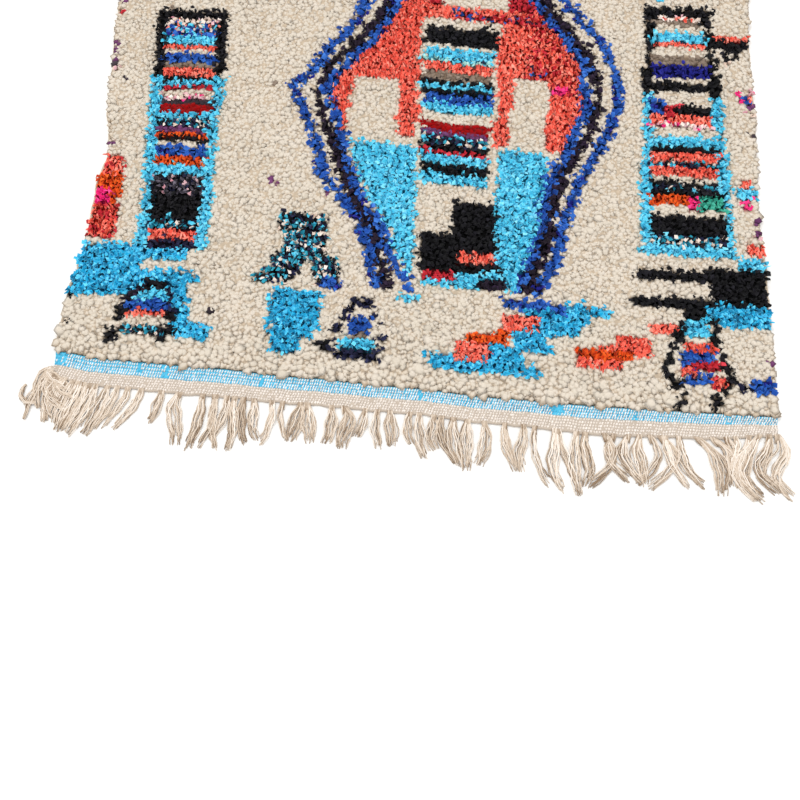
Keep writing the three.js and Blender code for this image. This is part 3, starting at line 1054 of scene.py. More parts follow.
# How much the strips differ: as shares of their width, reach and height, and in millimetres.
WIDTH_RANGE = (-0.25, 0.3)
REACH_RANGE = (-0.35, 0.25)
HEIGHT_RANGE = (-0.16, 0.1)
DROOP_RANGE = (-2.0, 7.0)
ROLL_SPREAD = 0.6
FOOT_SPREAD = 0.6
RAG_LEAN = (1.6, 1.4)
RAG_ROUGH = 1.0
RAG_TONE = 0.24
# Seven strips in ten are folded into a ridge, and the others are cupped.
RIDGED = 0.7
RIDGE_RANGE = (1.0, 3.2)
CUPPED = -1.6

rag_ends = np.array([CUTS.get(name, USUAL_CUT).many for name in DYE_NAMES] + [MIX_ENDS] * len(MIXES))
columns, number, many = ends_of(~is_wool, rag_ends[dyed] - sparse * (rag_ends[dyed] // 3))
x, y, place, dye, _ = columns
for i, mix in enumerate(MIXES):
    drawn = dye == len(DYE_NAMES) + i
    parts = list(MIXES[mix])
    weights = np.array([MIXES[mix][part] for part in parts], float)
    pick = chance.choice(len(parts), drawn.sum(), p=weights / weights.sum())
    dye[drawn] = np.array([NAMES.index(part) for part in parts])[pick]
count = len(x)
broad = np.where(place > FULL_TO, BROADER_BEYOND, 1.0)
cuts = np.array([CUTS.get(name, USUAL_CUT) for name in DYE_NAMES])[dye]
around = number * 2 * np.pi / many + chance.uniform(0, 2 * np.pi, count)
fold = np.where(chance.random(count) < RIDGED, chance.uniform(*RIDGE_RANGE, count), CUPPED)
width = cuts[:, 0] * broad * (1 + chance.uniform(*WIDTH_RANGE, count))
reach = cuts[:, 1] * (1 + chance.uniform(*REACH_RANGE, count))
height = cuts[:, 2] * (1 + chance.uniform(*HEIGHT_RANGE, count)) * sunk(place)
roll = chance.normal(0, ROLL_SPREAD, count)
petals = rag_petals(width, reach, height, fold, roll, chance.uniform(*DROOP_RANGE, count))
centre_x = x + FOOT_RING * np.cos(around) + chance.normal(0, FOOT_SPREAD, count)
centre_y = y + FOOT_RING * np.sin(around) + RAG_BACK + chance.normal(0, FOOT_SPREAD, count)
turn = chance.normal(0, 1, count) * cuts[:, 3]
lean_x = chance.normal(0, RAG_LEAN[0], count)
lean_y = falling(place) * RAG_FALL + chance.normal(0, RAG_LEAN[1], count)
petals = set_down(petals, centre_x, centre_y, turn, lean_x, lean_y, RAG_ROUGH)
rise = petals[..., 2] / (PILE * sunk(place)[:, None])
# The cut edges of a strip, which its finish paints with a highlight.
rim = (PETAL_CROWN == 0) * (PETAL_STATION > 0)
tone = np.clip(0.5 + RAG_TONE * chance.standard_normal(count), 0, 1)
for name in DYE_NAMES:
    chosen = dye == NAMES.index(name)
    if DYES[name].fibre == "rag" and chosen.any():
        tie(name, petals[chosen], tone[chosen], rise[chosen], rim, PETAL_SIDES)

# %% [markdown]
# ## The ground cloth
#
# The knots are tied on cotton warps and held by two shots of weft after each row. From below, each
# knot shows as a small bump in its own colour, so the design is there too, flatter and duller. From
# above, the cloth and the feet of the knots are what shows in the creases of the pile. It is one
# closed sheet with a point for each knot, which carries that knot's dye with painted shade for those
# creases, on the top and the underside alike.

# %% A closed slab between two grids
def closed_slab(top, bottom):
    """Points and quads of a slab whose grids run left to right and near to far, seen from above."""
    rows, columns = top.shape[:2]
    index = np.arange(rows * columns).reshape(rows, columns)
    cells = [index[:-1, :-1], index[:-1, 1:], index[1:, 1:], index[1:, :-1]]
    upper = np.stack([c.ravel() for c in cells], axis=1)
    lower = upper[:, ::-1] + rows * columns
    border = np.concatenate([index[0, :-1], index[:-1, -1], index[-1, :0:-1], index[:0:-1, 0]])
    after = np.roll(border, -1)
    under = border + rows * columns
    sides = np.stack([under, np.roll(under, -1), after, border], axis=1)
    points = np.concatenate([top.reshape(-1, 3), bottom.reshape(-1, 3)])
    return points, np.concatenate([upper, lower, sides])


one_cell = closed_slab(np.ones((2, 2, 3)), np.zeros((2, 2, 3)))
print("a slab of one cell has", len(one_cell[1]), "faces")

# %% [markdown]
# Its finish is a plain weave of cotton warps and wool wefts, beaten tight and never shiny. The eye
# gets fine ribs along, rows across, and darker pits where they cross. A wave texture turns through 20
# times its scale in radians for each metre, so a scale of 28 gives one rib for each 11.2 mm, which is
# a knot's width, and 27 gives one row for each 11.6 mm.

# %% The finish of the ground cloth
RIB_SCALE = 28.0
ROW_SCALE = 27.0
PIT_SHADE = 0.82


def woven_ground():
    """Cotton warps and wool wefts: each knot's dye with its painted shade, darkened by ribs along times
    rows across.
    """
    made, tree = blank_material("cotton_and_wool_ground_weave")
    dye = add(tree, "ShaderNodeAttribute", attribute_name="dye")
    place = add(tree, "ShaderNodeTexCoord")
    ribs = add(tree, "ShaderNodeTexWave", {"Vector": place.outputs["Object"], "Scale": RIB_SCALE,
                                           "Distortion": 1.5, "Detail": 1.0},
               wave_type="BANDS", bands_direction="X")
    rows = add(tree, "ShaderNodeTexWave", {"Vector": place.outputs["Object"], "Scale": ROW_SCALE,
                                           "Distortion": 1.5, "Detail": 1.0},
               wave_type="BANDS", bands_direction="Y")
    grid = add(tree, "ShaderNodeMath", {0: ribs.outputs["Fac"], 1: rows.outputs["Fac"]},
               operation="MULTIPLY")
    shade = add(tree, "ShaderNodeMapRange", {"Value": grid.outputs[0], "To Min": PIT_SHADE,
                                             "To Max": 1.0})
    colour = add(tree, "ShaderNodeMix", {"Factor": 1.0, "A": dye.outputs["Color"],
                                         "B": shade.outputs["Result"]},
                 data_type="RGBA", blend_type="MULTIPLY")
    bump = add(tree, "ShaderNodeBump", {"Height": grid.outputs[0], "Strength": 0.6,
                                        "Distance": 0.0015})
    surface = add(tree, "ShaderNodeBsdfPrincipled", {
        "Base Color": colour.outputs["Result"],
        "Normal": bump.outputs["Normal"],
        "Roughness": 0.95,
        "Specular IOR Level": 0.2,
    })
    add(tree, "ShaderNodeOutputMaterial", {"Surface": surface.outputs["BSDF"]})
    return made


ground_weave = woven_ground()
print("finish of the cloth:", ground_weave.name)

# %% Lay the ground cloth
# Heights in millimetres: at the cloth's edge, under wool and under rag, and how uneven they are. Where
# the pile is open the cloth lies lower and is painted darker, as shade.
GROUND_EDGE = 4.0
GROUND_WOOL = 12.75
GROUND_RAG = 8.0
GROUND_UNEVEN = 0.5
OPEN_DEPTH = 1.3
OPEN_SHADE = 0.14
HEM = 3.0


def with_border(grid):
    """A grid with its outer rows and columns repeated once."""
    return np.pad(grid, [(1, 1), (1, 1)] + [(0, 0)] * (grid.ndim - 2), mode="edge")


stops = np.concatenate([[0], (np.arange(COLUMNS) + 0.5) / COLUMNS, [1]])
stops_along = np.concatenate([[HEM], (np.arange(ROWS) + 0.5) * ROW_PITCH, [PILE_LENGTH - HEM]])
share, place = np.meshgrid(stops, stops_along)
ground_x, ground_y = woven_point(share, place)
open_pile = at_the_ends(knot_along, OPEN_REACH)
level = np.where(is_wool, GROUND_WOOL - OPEN_DEPTH * open_pile, GROUND_RAG) * sunk(knot_along)
level = with_border(level + chance.normal(0, GROUND_UNEVEN, dyed.shape))
level[[0, -1]] = GROUND_EDGE
level[:, [0, -1]] = GROUND_EDGE
ground_top = np.stack([ground_x, ground_y, level], axis=-1)

# The foot of a knot is painted darker than its ends, as the shade in the creases of the pile, and that
# of a mix takes the mix's commonest dye.
PAINTED_FOOT_SHADE = {"wool": np.array(linear("#ece2d6")), "rag": np.array(linear("#cacaca"))}
deep = {name: np.array(linear(dye.middle if dye.fibre == "wool" else dye.dark)) * PAINTED_FOOT_SHADE[dye.fibre]
        for name, dye in DYES.items()}
deep.update({mix: deep[max(parts, key=parts.get)] for mix, parts in MIXES.items()})
palette = np.array([deep[name] for name in NAMES])
# Painted shade: the cloth's colour is darker where the pile is open.
shade = 1 - OPEN_SHADE * open_pile
ground_dye_and_shade = palette[dyed] * np.stack([shade, shade, shade, np.ones(shade.shape)], axis=-1)
ground_dye_and_shade = with_border(ground_dye_and_shade).reshape(-1, 4)
points, faces = closed_slab(ground_top, ground_top * (1, 1, 0))
ground = piece("ground_cloth", points, faces, ground_weave,
               {"dye": np.concatenate([ground_dye_and_shade, ground_dye_and_shade])})
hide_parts("pile_field")

# %% [markdown]
# ## The flat-woven ends
#
# Before the first row of knots the weaver lays a strip of flat weave, two or three fingers wide: cream,
# then turquoise and white in short slanting floats. Both ends are made in one way, each in its own
# frame with the fringe towards -y, and the far one is then turned round.

# %% The two ends, each in its own frame
def turned_round(end):
    """A table of the far end as seen by someone who stands behind it."""
    flipped = {key: [-v for v in values] if key in ("across", "lean") else list(values)
               for key, values in end.items()}
    return {key: values[::-1] for key, values in flipped.items()}


END_TABLES = {"near": NEAR_END, "far": turned_round(FAR_END)}


def to_rug(end_name, points):
    """An end's own millimetres as the rug's: the far end makes half a turn and goes behind the pile."""
    if end_name == "near":
        return np.asarray(points)
    return np.asarray(points) * (-1, -1, 1) + (0, PILE_LENGTH, 0)


def seam_of(end_name, share):
    """The pile's edge at shares of the width, in the frame of its end."""
    if end_name == "near":
        return edge_point(share)
    return edge_point(1 - share, far=True) * (-1, -1) + (0, PILE_LENGTH)


for end_name in END_TABLES:
    print("middle of the seam of the", end_name, "end, mm:", seam_of(end_name, 0.5).round(1))

# %% [markdown]
# Cotton yarn is spun and plied, and here it is unbleached, bleached or dyed turquoise. The eye gets a
# dry, even yarn with no shine. Its tone differs from yarn to yarn, partly at random and partly as
# painted light and shade in the fringe, and lint clouds it each 6 mm or so.
# The real twist is well under a millimetre. It is drawn at 1.4 mm, as a bump, or it wouldn't show.

# %% The finish of cotton yarn
LINT_SCALE = 160.0
LINT_TONE = 0.7
TWIST_SCALE = 700.0


def cotton_yarn(name, dark, middle, light):
    """Plied cotton: the tone of the yarn plus that of the lint picks from three colours."""
    made, tree = blank_material(name)
    tone = add(tree, "ShaderNodeAttribute", attribute_name="tone")
    place = add(tree, "ShaderNodeTexCoord")
    lint = add(tree, "ShaderNodeTexNoise", {"Vector": place.outputs["Object"], "Scale": LINT_SCALE,
                                            "Detail": 4.0, "Roughness": 0.7})
    shade = add(tree, "ShaderNodeMath", {0: lint.outputs["Fac"], 1: LINT_TONE, 2: -LINT_TONE / 2},
                operation="MULTIPLY_ADD")
    mixed = add(tree, "ShaderNodeMath", {0: tone.outputs["Fac"], 1: shade.outputs[0]},
                operation="ADD")
    ramp = add(tree, "ShaderNodeValToRGB", {"Fac": mixed.outputs[0]})
    ramp.color_ramp.elements[0].color = linear(dark)
    ramp.color_ramp.elements[1].color = linear(light)
    ramp.color_ramp.elements.new(0.5).color = linear(middle)
    twist = add(tree, "ShaderNodeTexNoise", {"Vector": place.outputs["Object"], "Scale": TWIST_SCALE,
                                             "Detail": 2.0})
    bump = add(tree, "ShaderNodeBump", {"Height": twist.outputs["Fac"], "Strength": 0.35,
                                        "Distance": 0.0006})
    surface = add(tree, "ShaderNodeBsdfPrincipled", {
        "Base Color": ramp.outputs["Color"],
        "Normal": bump.outputs["Normal"],
        "Roughness": 0.85,
        "Specular IOR Level": 0.25,
        "Sheen Weight": 0.2,
    })
    add(tree, "ShaderNodeOutputMaterial", {"Surface": surface.outputs["BSDF"]})
    return made


cotton = cotton_yarn("unbleached_cotton_warp", "#8f775f", "#d6c4b0", "#f7ede2")
cream_weave = cotton_yarn("cream_cotton_plain_weave", "#b3a596", "#cabcad", "#dccfc3")
cream_weft = cotton_yarn("cream_cotton_weft", "#dcd0c4", "#e9ded3", "#f4ebe2")
blue_weft = cotton_yarn("turquoise_cotton_weft", "#2490ba", "#50bce0", "#98e4f8")
white_weft = cotton_yarn("white_cotton_weft", "#d6d5d3", "#f1f0ee", "#fcfcfb")
print("cotton:", [made.name for made in (cotton, cream_weave, cream_weft, blue_weft, white_weft)])

# %% [markdown]
# The strip lies flat, with a slightly wavy outer edge, and climbs to the pile over its last third. The
# plain weave and the turquoise band are closed slabs, side by side.

# %% The strips
STRIP = 2.6
STRIP_RIDGE = 3.4
STRIP_RISE = 4.5
STRIP_ROWS = 9
EDGE_WAVE = 1.8
SPLIT_LEFT = 0.50
SPLIT_RIGHT = 0.63


def split(share):
    """Where the cream gives way to turquoise, as a share of the way from the fringe to the pile."""
    return SPLIT_LEFT + (SPLIT_RIGHT - SPLIT_LEFT) * share


def strip_point(end_name, share, up):
    """A point of the flat weave: up is 0 at the fringe and 1 at the pile, and z eases up at the end."""
    seam = seam_of(end_name, share)
    root = read(END_TABLES[end_name], "across", seam[..., 0], "root")
    root = root + EDGE_WAVE * np.sin(seam[..., 0] / 8) * np.sin(seam[..., 0] / 29 + 1)
    y = root + (seam[..., 1] - GAP - root) * up
    z = STRIP + (STRIP_RIDGE - STRIP) * np.clip(1 - up * 4, 0, 1) + STRIP_RISE * ease(up * 3 - 2)
    return np.stack([seam[..., 0], y, z], axis=-1)


def lay_strip(end_name, label, in_band, material, tone):
    """One slab all across an end: from the fringe to the turquoise, or from there to the pile."""
    share, up = np.meshgrid(np.linspace(0, 1, COLUMNS), np.linspace(0, 1, STRIP_ROWS))
    low, high = (split(share), 1) if in_band else (0, split(share))
    top = strip_point(end_name, share, low + (high - low) * up)
    points, faces = closed_slab(top, top * (1, 1, 0))
    piece(f"{end_name}_{label}", to_rug(end_name, points), faces, material,
          {"tone": np.full(len(points), tone)})


print("turquoise starts at", SPLIT_LEFT, "of the strip on the left,", SPLIT_RIGHT, "on the right")

# %% [markdown]
# A float is where the weft passes over the warps, and stands out as a small bar. White and turquoise
# floats take turns in the band, and cream ones cover the plain weave. In a few places the white yarn
# stayed below, and plain turquoise shows.

# %% The floats
# A kind's row: whether it is in the band, how many there are in a row, where the first one lies in its
# step, the width and length in millimetres, the slant in radians, and the yarn.
Floats = namedtuple("Floats", "label in_band many first width length slant material")
FLOATS = [
    Floats("white_floats", True, 276, 0.2, 2.9, 6.6, -0.4, white_weft),
    Floats("turquoise_floats", True, 276, 0.7, 1.9, 5.4, -0.4, blue_weft),
    Floats("cream_floats", False, 256, 0.5, 3.9, 5.4, -0.5, cream_weft),
]
BAND_ROWS = (0.86, 0.62, 0.38, 0.14)
CREAM_ROWS = (0.92, 0.74, 0.56, 0.38, 0.20)
WHITE_BREAKS = ((-0.01, 0.016), (0.118, 0.122), (0.152, 0.160), (0.29, 0.294), (0.345, 0.348),
                (0.51, 0.515), (0.69, 0.71), (0.806, 0.811), (0.93, 0.94))
KEPT_IN_BREAKS = 0.3
FAINTEST = 0.1
# The five points of a bar: four at its rim, a little below the weave, and the crown.
BAR_SIDES = 4
BAR_X = np.array([0.5, -0.5, -0.5, 0.5, 0.0])
BAR_Y = np.array([0.5, 0.5, -0.5, -0.5, 0.0])
BAR_Z = np.array([-0.2, -0.2, -0.2, -0.2, 1.6])


def bars(end_name, kind):
    """Bars of weft, each turned by its slant: each row starts a third of a step beside the last."""
    rows = BAND_ROWS if kind.in_band else CREAM_ROWS
    step, row = np.meshgrid(np.arange(kind.many), np.arange(len(rows)))
    share = (step + kind.first - row / 3) % kind.many / kind.many
    share = np.clip(share + chance.normal(0, 0.1, share.shape) / kind.many, 0.001, 0.999).ravel()
    level = np.array(rows)[row.ravel()]
    up = split(share) + (1 - split(share)) * level if kind.in_band else split(share) * level
    at = strip_point(end_name, share, up)
    count = len(at)
    wide = kind.width * (1 + chance.uniform(-0.2, 0.3, count))[:, None]
    long = kind.length * (1 + chance.uniform(-0.15, 0.3, count))[:, None]
    turn = (kind.slant + chance.normal(0, 0.12, count))[:, None]
    x = wide * BAR_X * np.cos(turn) - long * BAR_Y * np.sin(turn)
    y = wide * BAR_X * np.sin(turn) + long * BAR_Y * np.cos(turn)
    forms = np.stack([x, y, np.broadcast_to(BAR_Z, x.shape)], axis=-1) + at[:, None, :]
    return forms, share, np.clip(0.5 + 0.25 * chance.standard_normal(count), 0, 1)


def lay_floats(end_name, kind):
    """The floats of one kind at one end, less those that a break or a thin place leaves out."""
    forms, share, tone = bars(end_name, kind)
    if kind.label == "white_floats":
        broken = np.any([(share > low) & (share < high) for low, high in WHITE_BREAKS], axis=0)
        shown = ~broken | (chance.random(len(share)) < KEPT_IN_BREAKS)
    else:
        shown = tone > FAINTEST
    piece(f"{end_name}_{kind.label}", to_rug(end_name, forms[shown].reshape(-1, 3)),
          rimmed_faces(BAR_SIDES, shown.sum()), kind.material,
          {"tone": np.repeat(tone[shown], BAR_SIDES + 1)})
    print(end_name, kind.label, int(shown.sum()))


for end_name in END_TABLES:
    lay_strip(end_name, "flat_weave", in_band=False, material=cream_weave, tone=0.2)
    lay_strip(end_name, "turquoise_band", in_band=True, material=blue_weft, tone=0.45)
    for kind in FLOATS:
        lay_floats(end_name, kind)

# %% [markdown]
# ## The fringe
#
# The fringe is the warp itself, cut off the loom. Its yarns leave the weave in bunches with narrow
# necks, swell into soft locks, cross, and narrow again towards their tips. Their crimp comes from the
# weave that once held them. A yarn is a profile of four sides carried along its path.

# %% Tubes along many paths at once
TUBE_SIDES = 4


def tubes(paths, radius):
    """Rings square to each path, joined by quads: all paths have the same number of points.

    A point of a ring is the path plus the radius times (cos turn beside it + sin turn above it).
    """
    copies, steps = paths.shape[:2]
    ahead = np.gradient(paths, axis=1)
    ahead /= np.linalg.norm(ahead, axis=-1, keepdims=True)
    beside = np.stack([-ahead[..., 1], ahead[..., 0], np.zeros(ahead.shape[:2])], axis=-1)
    beside /= np.maximum(np.linalg.norm(beside, axis=-1, keepdims=True), 1e-6)
    above = np.cross(ahead, beside)
    turn = (np.arange(TUBE_SIDES) + 0.5) * 2 * np.pi / TUBE_SIDES
    ring = np.cos(turn)[:, None] * beside[:, :, None] + np.sin(turn)[:, None] * above[:, :, None]
    points = paths[:, :, None] + ring * np.broadcast_to(radius, (copies, steps))[..., None, None]
    here = np.arange(TUBE_SIDES)
    after = (here + 1) % TUBE_SIDES
    step = np.arange(steps - 1)[:, None] * TUBE_SIDES
    quads = np.stack([step + here, step + after, step + after + TUBE_SIDES,
                      step + here + TUBE_SIDES], axis=-1).reshape(-1, 4)
    caps = np.array([here[::-1], here + (steps - 1) * TUBE_SIDES])
    one = np.concatenate([quads, caps])
    starts = np.arange(copies)[:, None, None] * steps * TUBE_SIDES
    return points.reshape(-1, 3), (one[None] + starts).reshape(-1, 4)


straight = np.linspace((0, 0, 0), (0, 9, 0), 3)[None]
print("a straight tube of two steps has", len(tubes(straight, 1.0)[1]), "quads")

# %% [markdown]
# Each lock of the near end is a row of a table, in millimetres: where its root is, how far its belly
# and its tip are swept to the side, how long it is, half its width, and how strongly it sways in the
# shape of an S. The far end is made in the same way from random rows.

# %% The locks of the near end
Lock = namedtuple("Lock", "root belly tip length half sway", defaults=(0.0,))
NEAR_LOCKS = [
    Lock(-690, -36, -48, 62, 9), Lock(-676, -22, -30, 76, 9), Lock(-660, -14, -22, 84, 10),
    Lock(-682, -12, -20, 88, 12), Lock(-650, -10, -26, 92, 12), Lock(-626, -12, -32, 90, 10),
    Lock(-638, -12, -30, 96, 11), Lock(-615, -12, -34, 101, 11), Lock(-591, -14, -34, 98, 11),
    Lock(-572, -12, -32, 82, 8), Lock(-553, -10, -34, 80, 8), Lock(-527, -10, -38, 84, 8),
    Lock(-487, -6, -16, 62, 9), Lock(-452, -6, 4, 98, 14, -3), Lock(-408, -4, -16, 110, 9),
    Lock(-386, 0, -18, 100, 5), Lock(-382, -2, 8, 104, 7), Lock(-361, -4, -22, 84, 7),
    Lock(-347, 2, -2, 102, 9, -3), Lock(-329, -2, 8, 88, 9), Lock(-310, 3, 12, 76, 9, 3),
    Lock(-275, 2, -12, 83, 6), Lock(-254, -2, 12, 70, 4), Lock(-220, -6, -14, 72, 13),
    Lock(-208, 6, 12, 74, 13), Lock(-161, 3, -4, 72, 10), Lock(-138, 9, 2, 78, 13, 5),
    Lock(-96, -4, -12, 52, 8), Lock(-72, -3, 6, 72, 7), Lock(-49, 3, 8, 66, 11),
    Lock(-10, -5, 4, 60, 8), Lock(7, 3, 14, 84, 9), Lock(35, -4, 4, 66, 8, 3),
    Lock(50, 2, 32, 86, 8), Lock(72, 2, 18, 90, 13), Lock(100, -4, 0, 94, 13),
    Lock(130, 5, -6, 82, 10), Lock(170, 2, 22, 88, 9), Lock(205, -4, -4, 86, 9, 3),
    Lock(226, 0, 24, 110, 5), Lock(263, -2, 14, 118, 10, 4), Lock(270, 12, 34, 100, 6),
    Lock(305, -4, 4, 118, 9), Lock(322, 4, 2, 102, 9, -4), Lock(357, 15, -24, 100, 7),
    Lock(376, -12, 24, 86, 8), Lock(403, -8, 24, 90, 11), Lock(424, -3, 4, 94, 12, -3),
    Lock(443, 14, -24, 96, 6), Lock(462, 26, -17, 102, 7, 3), Lock(472, 8, 38, 94, 7),
    Lock(496, 8, 42, 98, 8, 3), Lock(530, 42, 44, 104, 13, 2), Lock(560, 36, 38, 90, 12, 5),
    Lock(586, 12, 26, 88, 8, 7), Lock(604, -4, 10, 84, 8, 8), Lock(630, -16, 14, 118, 15, 8),
    Lock(650, -36, -9, 126, 17, 6), Lock(668, -16, 8, 110, 11, 11), Lock(682, -4, 14, 121, 15, 15),
]
print("locks of the near end:", len(NEAR_LOCKS))

# %% The locks of the far end
FAR_LOCKS = 30
FAR_REACH = 680
BELLY_SPREAD = 8
TIP_SPREAD = 14
SWAY_SPREAD = 4


def random_locks(end_name, many):
    """Locks at even steps along an end, with lengths from its table and everything else drawn."""
    step = np.arange(many) + 0.5 + chance.uniform(-0.25, 0.25, many)
    root = -FAR_REACH + 2 * FAR_REACH * step / many
    length = read(END_TABLES[end_name], "across", root, "fringe") * chance.uniform(0.78, 1.02, many)
    belly = chance.normal(0, BELLY_SPREAD, many)
    tip = chance.normal(0, TIP_SPREAD, many)
    half = chance.uniform(7, 15, many)
    return np.stack([root, belly, tip, length, half, chance.normal(0, SWAY_SPREAD, many)], axis=1)


print("locks of the far end:", FAR_LOCKS)

# %% The yarns of a lock
# How many yarns a lock has, from each half width on.
YARNS_OF_HALF = {0: 10, 7: 14, 9: 17, 12: 21}
YARN_STEPS = 12
# In millimetres: a yarn's radius, half the width of a neck, how far in the yarns start, and how high a
# lock heaps up. FULLNESS spreads a lock a little wider than its row says.
YARN = 1.5
NECK = 4.6
INSIDE_WEAVE = 4
HEAP = 3.6
FULLNESS = 1.2
# The crimp is a wave of 36 mm, which the yarns of a strand share, and a small one of 16 mm.
CRIMP, CRIMP_WAVE = 1.5, 36
SMALL_CRIMP, SMALL_WAVE = 0.35, 16


def yarns_in(locks):
    """The number of yarns of each lock, looked up by its half width."""
    from_half = np.array(list(YARNS_OF_HALF))
    row = np.searchsorted(from_half, locks[:, 4], side="right") - 1
    return np.array(list(YARNS_OF_HALF.values()))[row]


def lock_paths(locks, end_name):
    """The yarns of all locks: one centre line for a lock, a swelling width, and crimp.

    The centre line is x(t) = root + 4 t (1 - t) belly + t (2 t - 1) tip + sway sin(2 pi t).
    """
    lock = np.repeat(np.arange(len(locks)), yarns_in(locks))
    root, belly, tip, length, half, sway = locks[lock].T[..., None]
    total = len(lock)
    t = np.linspace(0, 1, YARN_STEPS)[None]

    def per_yarn(low, high):
        return chance.uniform(low, high, total)[:, None]

    strand = chance.integers(0, 4, total)
    phase = chance.uniform(0, 1, (len(locks), 4))[lock, strand][:, None]
    centre = root + 4 * t * (1 - t) * belly + t * (2 * t - 1) * tip + sway * np.sin(2 * np.pi * t)
    half = half * FULLNESS
    swell = np.where(t < 0.5, NECK + (half - NECK) * ease(t * 2), half * (1 - 0.4 * ease(t * 2 - 1)))
    offset = per_yarn(-1, 1) + per_yarn(-0.6, 0.6) * (t - 0.3)
    crimp = CRIMP * np.sin(2 * np.pi * (t * length / CRIMP_WAVE + phase))
    crimp = crimp + SMALL_CRIMP * np.sin(2 * np.pi * (t * length / SMALL_WAVE + per_yarn(0, 1)))
    x = centre + offset * swell + crimp * np.clip(t * 4, 0, 1)
    reach = length * per_yarn(0.82, 1.04)
    y = read(END_TABLES[end_name], "across", root, "root") + INSIDE_WEAVE - (reach + INSIDE_WEAVE) * t
    layer = per_yarn(0, 1)
    arch = np.sin(np.pi * np.clip(t * 1.05, 0, 1)) ** 0.6
    z = YARN + (STRIP_RIDGE - YARN) * (1 - ease(t / 0.25)) + HEAP * layer * arch
    # Yarns higher in a lock are painted lighter than those below, as painted light and shade, all are
    # darker at the root as painted shadow of the weave, and all are darker towards the tip.
    tone = 0.52 + chance.normal(0, 0.18, (total, 1)) + 0.5 * (layer - 0.5) - 0.25 * t ** 4
    tone = tone + chance.normal(0, 0.07, len(locks))[lock, None] - 0.3 * np.exp(-t / 0.06)
    return np.stack(np.broadcast_arrays(x, y, z), axis=-1), tone


print("yarns of the near locks:", int(yarns_in(np.array(NEAR_LOCKS, float)).sum()))

# %% The necks of the locks
NECK_LENGTH = 13.0
NECK_RADIUS = 2.3


def neck_paths(locks, end_name):
    """Three short stout yarns at each root, side by side, which draw together half way."""
    beside = np.tile([-1.0, 0.0, 1.0], len(locks))[:, None]
    root = np.repeat(locks[:, 0], 3)[:, None]
    lean = np.repeat(locks[:, 1], 3)[:, None]
    t = np.linspace(0, 1, YARN_STEPS)[None]
    x = root + beside * NECK * (0.8 - 0.3 * np.sin(np.pi * t)) + lean * 0.35 * t ** 2
    y = read(END_TABLES[end_name], "across", root, "root") + 5 - (NECK_LENGTH + 5) * t
    z = STRIP_RIDGE + 0.8 * np.sin(np.pi * t) - 1.2 * t ** 2
    tone = 0.42 + chance.normal(0, 0.16, root.shape) - 0.3 * t
    return np.stack(np.broadcast_arrays(x, y, z), axis=-1), tone


# %% [markdown]
# At the near left corner a few ends have slipped out of the last wefts. They lie on the floor in wide
# curls, so each is a cubic curve through four given places, with a bundle of yarns along it.

# %% The loose strands at the near left corner
# A strand's row: where its curve starts, its two handles, where it stops, half its width, its yarns.
Strand = namedtuple("Strand", "start first second stop half yarns")
CORNER = [
    Strand((-702, 4), (-724, -10), (-732, -46), (-742, -96), 4, 10),
    Strand((-724, -60), (-742, -70), (-768, -52), (-749, -26), 4, 12),
    Strand((-700, 8), (-738, -4), (-700, -24), (-650, -36), 5, 12),
    Strand((-702, 2), (-732, -36), (-696, -60), (-660, -78), 6, 14),
    Strand((-698, 0), (-722, -28), (-690, -50), (-656, -68), 6, 14),
    Strand((-694, -8), (-716, -42), (-712, -66), (-690, -88), 5, 10),
    Strand((-690, -10), (-700, -30), (-676, -44), (-640, -50), 5, 12),
    Strand((-702, 10), (-734, 4), (-730, -40), (-718, -72), 8, 16),
    Strand((-704, 12), (-722, -4), (-684, -8), (-662, -34), 7, 14),
]
CURL, CURL_WAVES = 1.2, 3.2
CURL_HEIGHT, CURL_HEAP = 1.0, 4.0


def strand_paths(strands):
    """Yarns along cubic curves, (1-t)^3 a + 3(1-t)^2 t b + 3(1-t) t^2 c + t^3 d, spread sideways."""
    corners = np.array([strand[:4] for strand in strands], float)
    many = np.array([strand.yarns for strand in strands])
    half = np.array([strand.half for strand in strands], float)
    t = np.linspace(0, 1, YARN_STEPS)
    weights = np.stack([(1 - t) ** 3, 3 * (1 - t) ** 2 * t, 3 * (1 - t) * t ** 2, t ** 3])
    line = np.einsum("wt,swc->stc", weights, corners)
    ahead = np.gradient(line, axis=1)
    ahead /= np.linalg.norm(ahead, axis=-1, keepdims=True)
    beside = np.stack([-ahead[..., 1], ahead[..., 0]], axis=-1)
    which = np.repeat(np.arange(len(strands)), many)
    offset = chance.uniform(-1, 1, (len(which), 1)) * (0.4 + 0.6 * np.sin(np.pi * t) ** 0.7)
    turns = t * CURL_WAVES + chance.uniform(0, 1, (len(which), 1))
    offset = offset * half[which][:, None] + CURL * np.sin(2 * np.pi * turns)
    flat = line[which] + beside[which] * offset[..., None]
    layer = chance.uniform(0, 1, (len(which), 1))
    arch = np.sin(np.pi * np.clip(t * 0.96 + 0.04, 0, 1)) ** 0.6
    z = YARN + CURL_HEIGHT + CURL_HEAP * layer * arch
    # Yarns higher in the heap are painted lighter, as painted light and shade, and all darken a little
    # towards the tip.
    tone = 0.32 + chance.normal(0, 0.2, (len(which), 1)) + 0.6 * (layer - 0.5) - 0.1 * t ** 4
    return np.concatenate([flat, z[..., None]], axis=-1), tone


print("loose strands:", len(CORNER), "with", sum(strand.yarns for strand in CORNER), "yarns")

# %% Lay both fringes
TAPER = 0.35

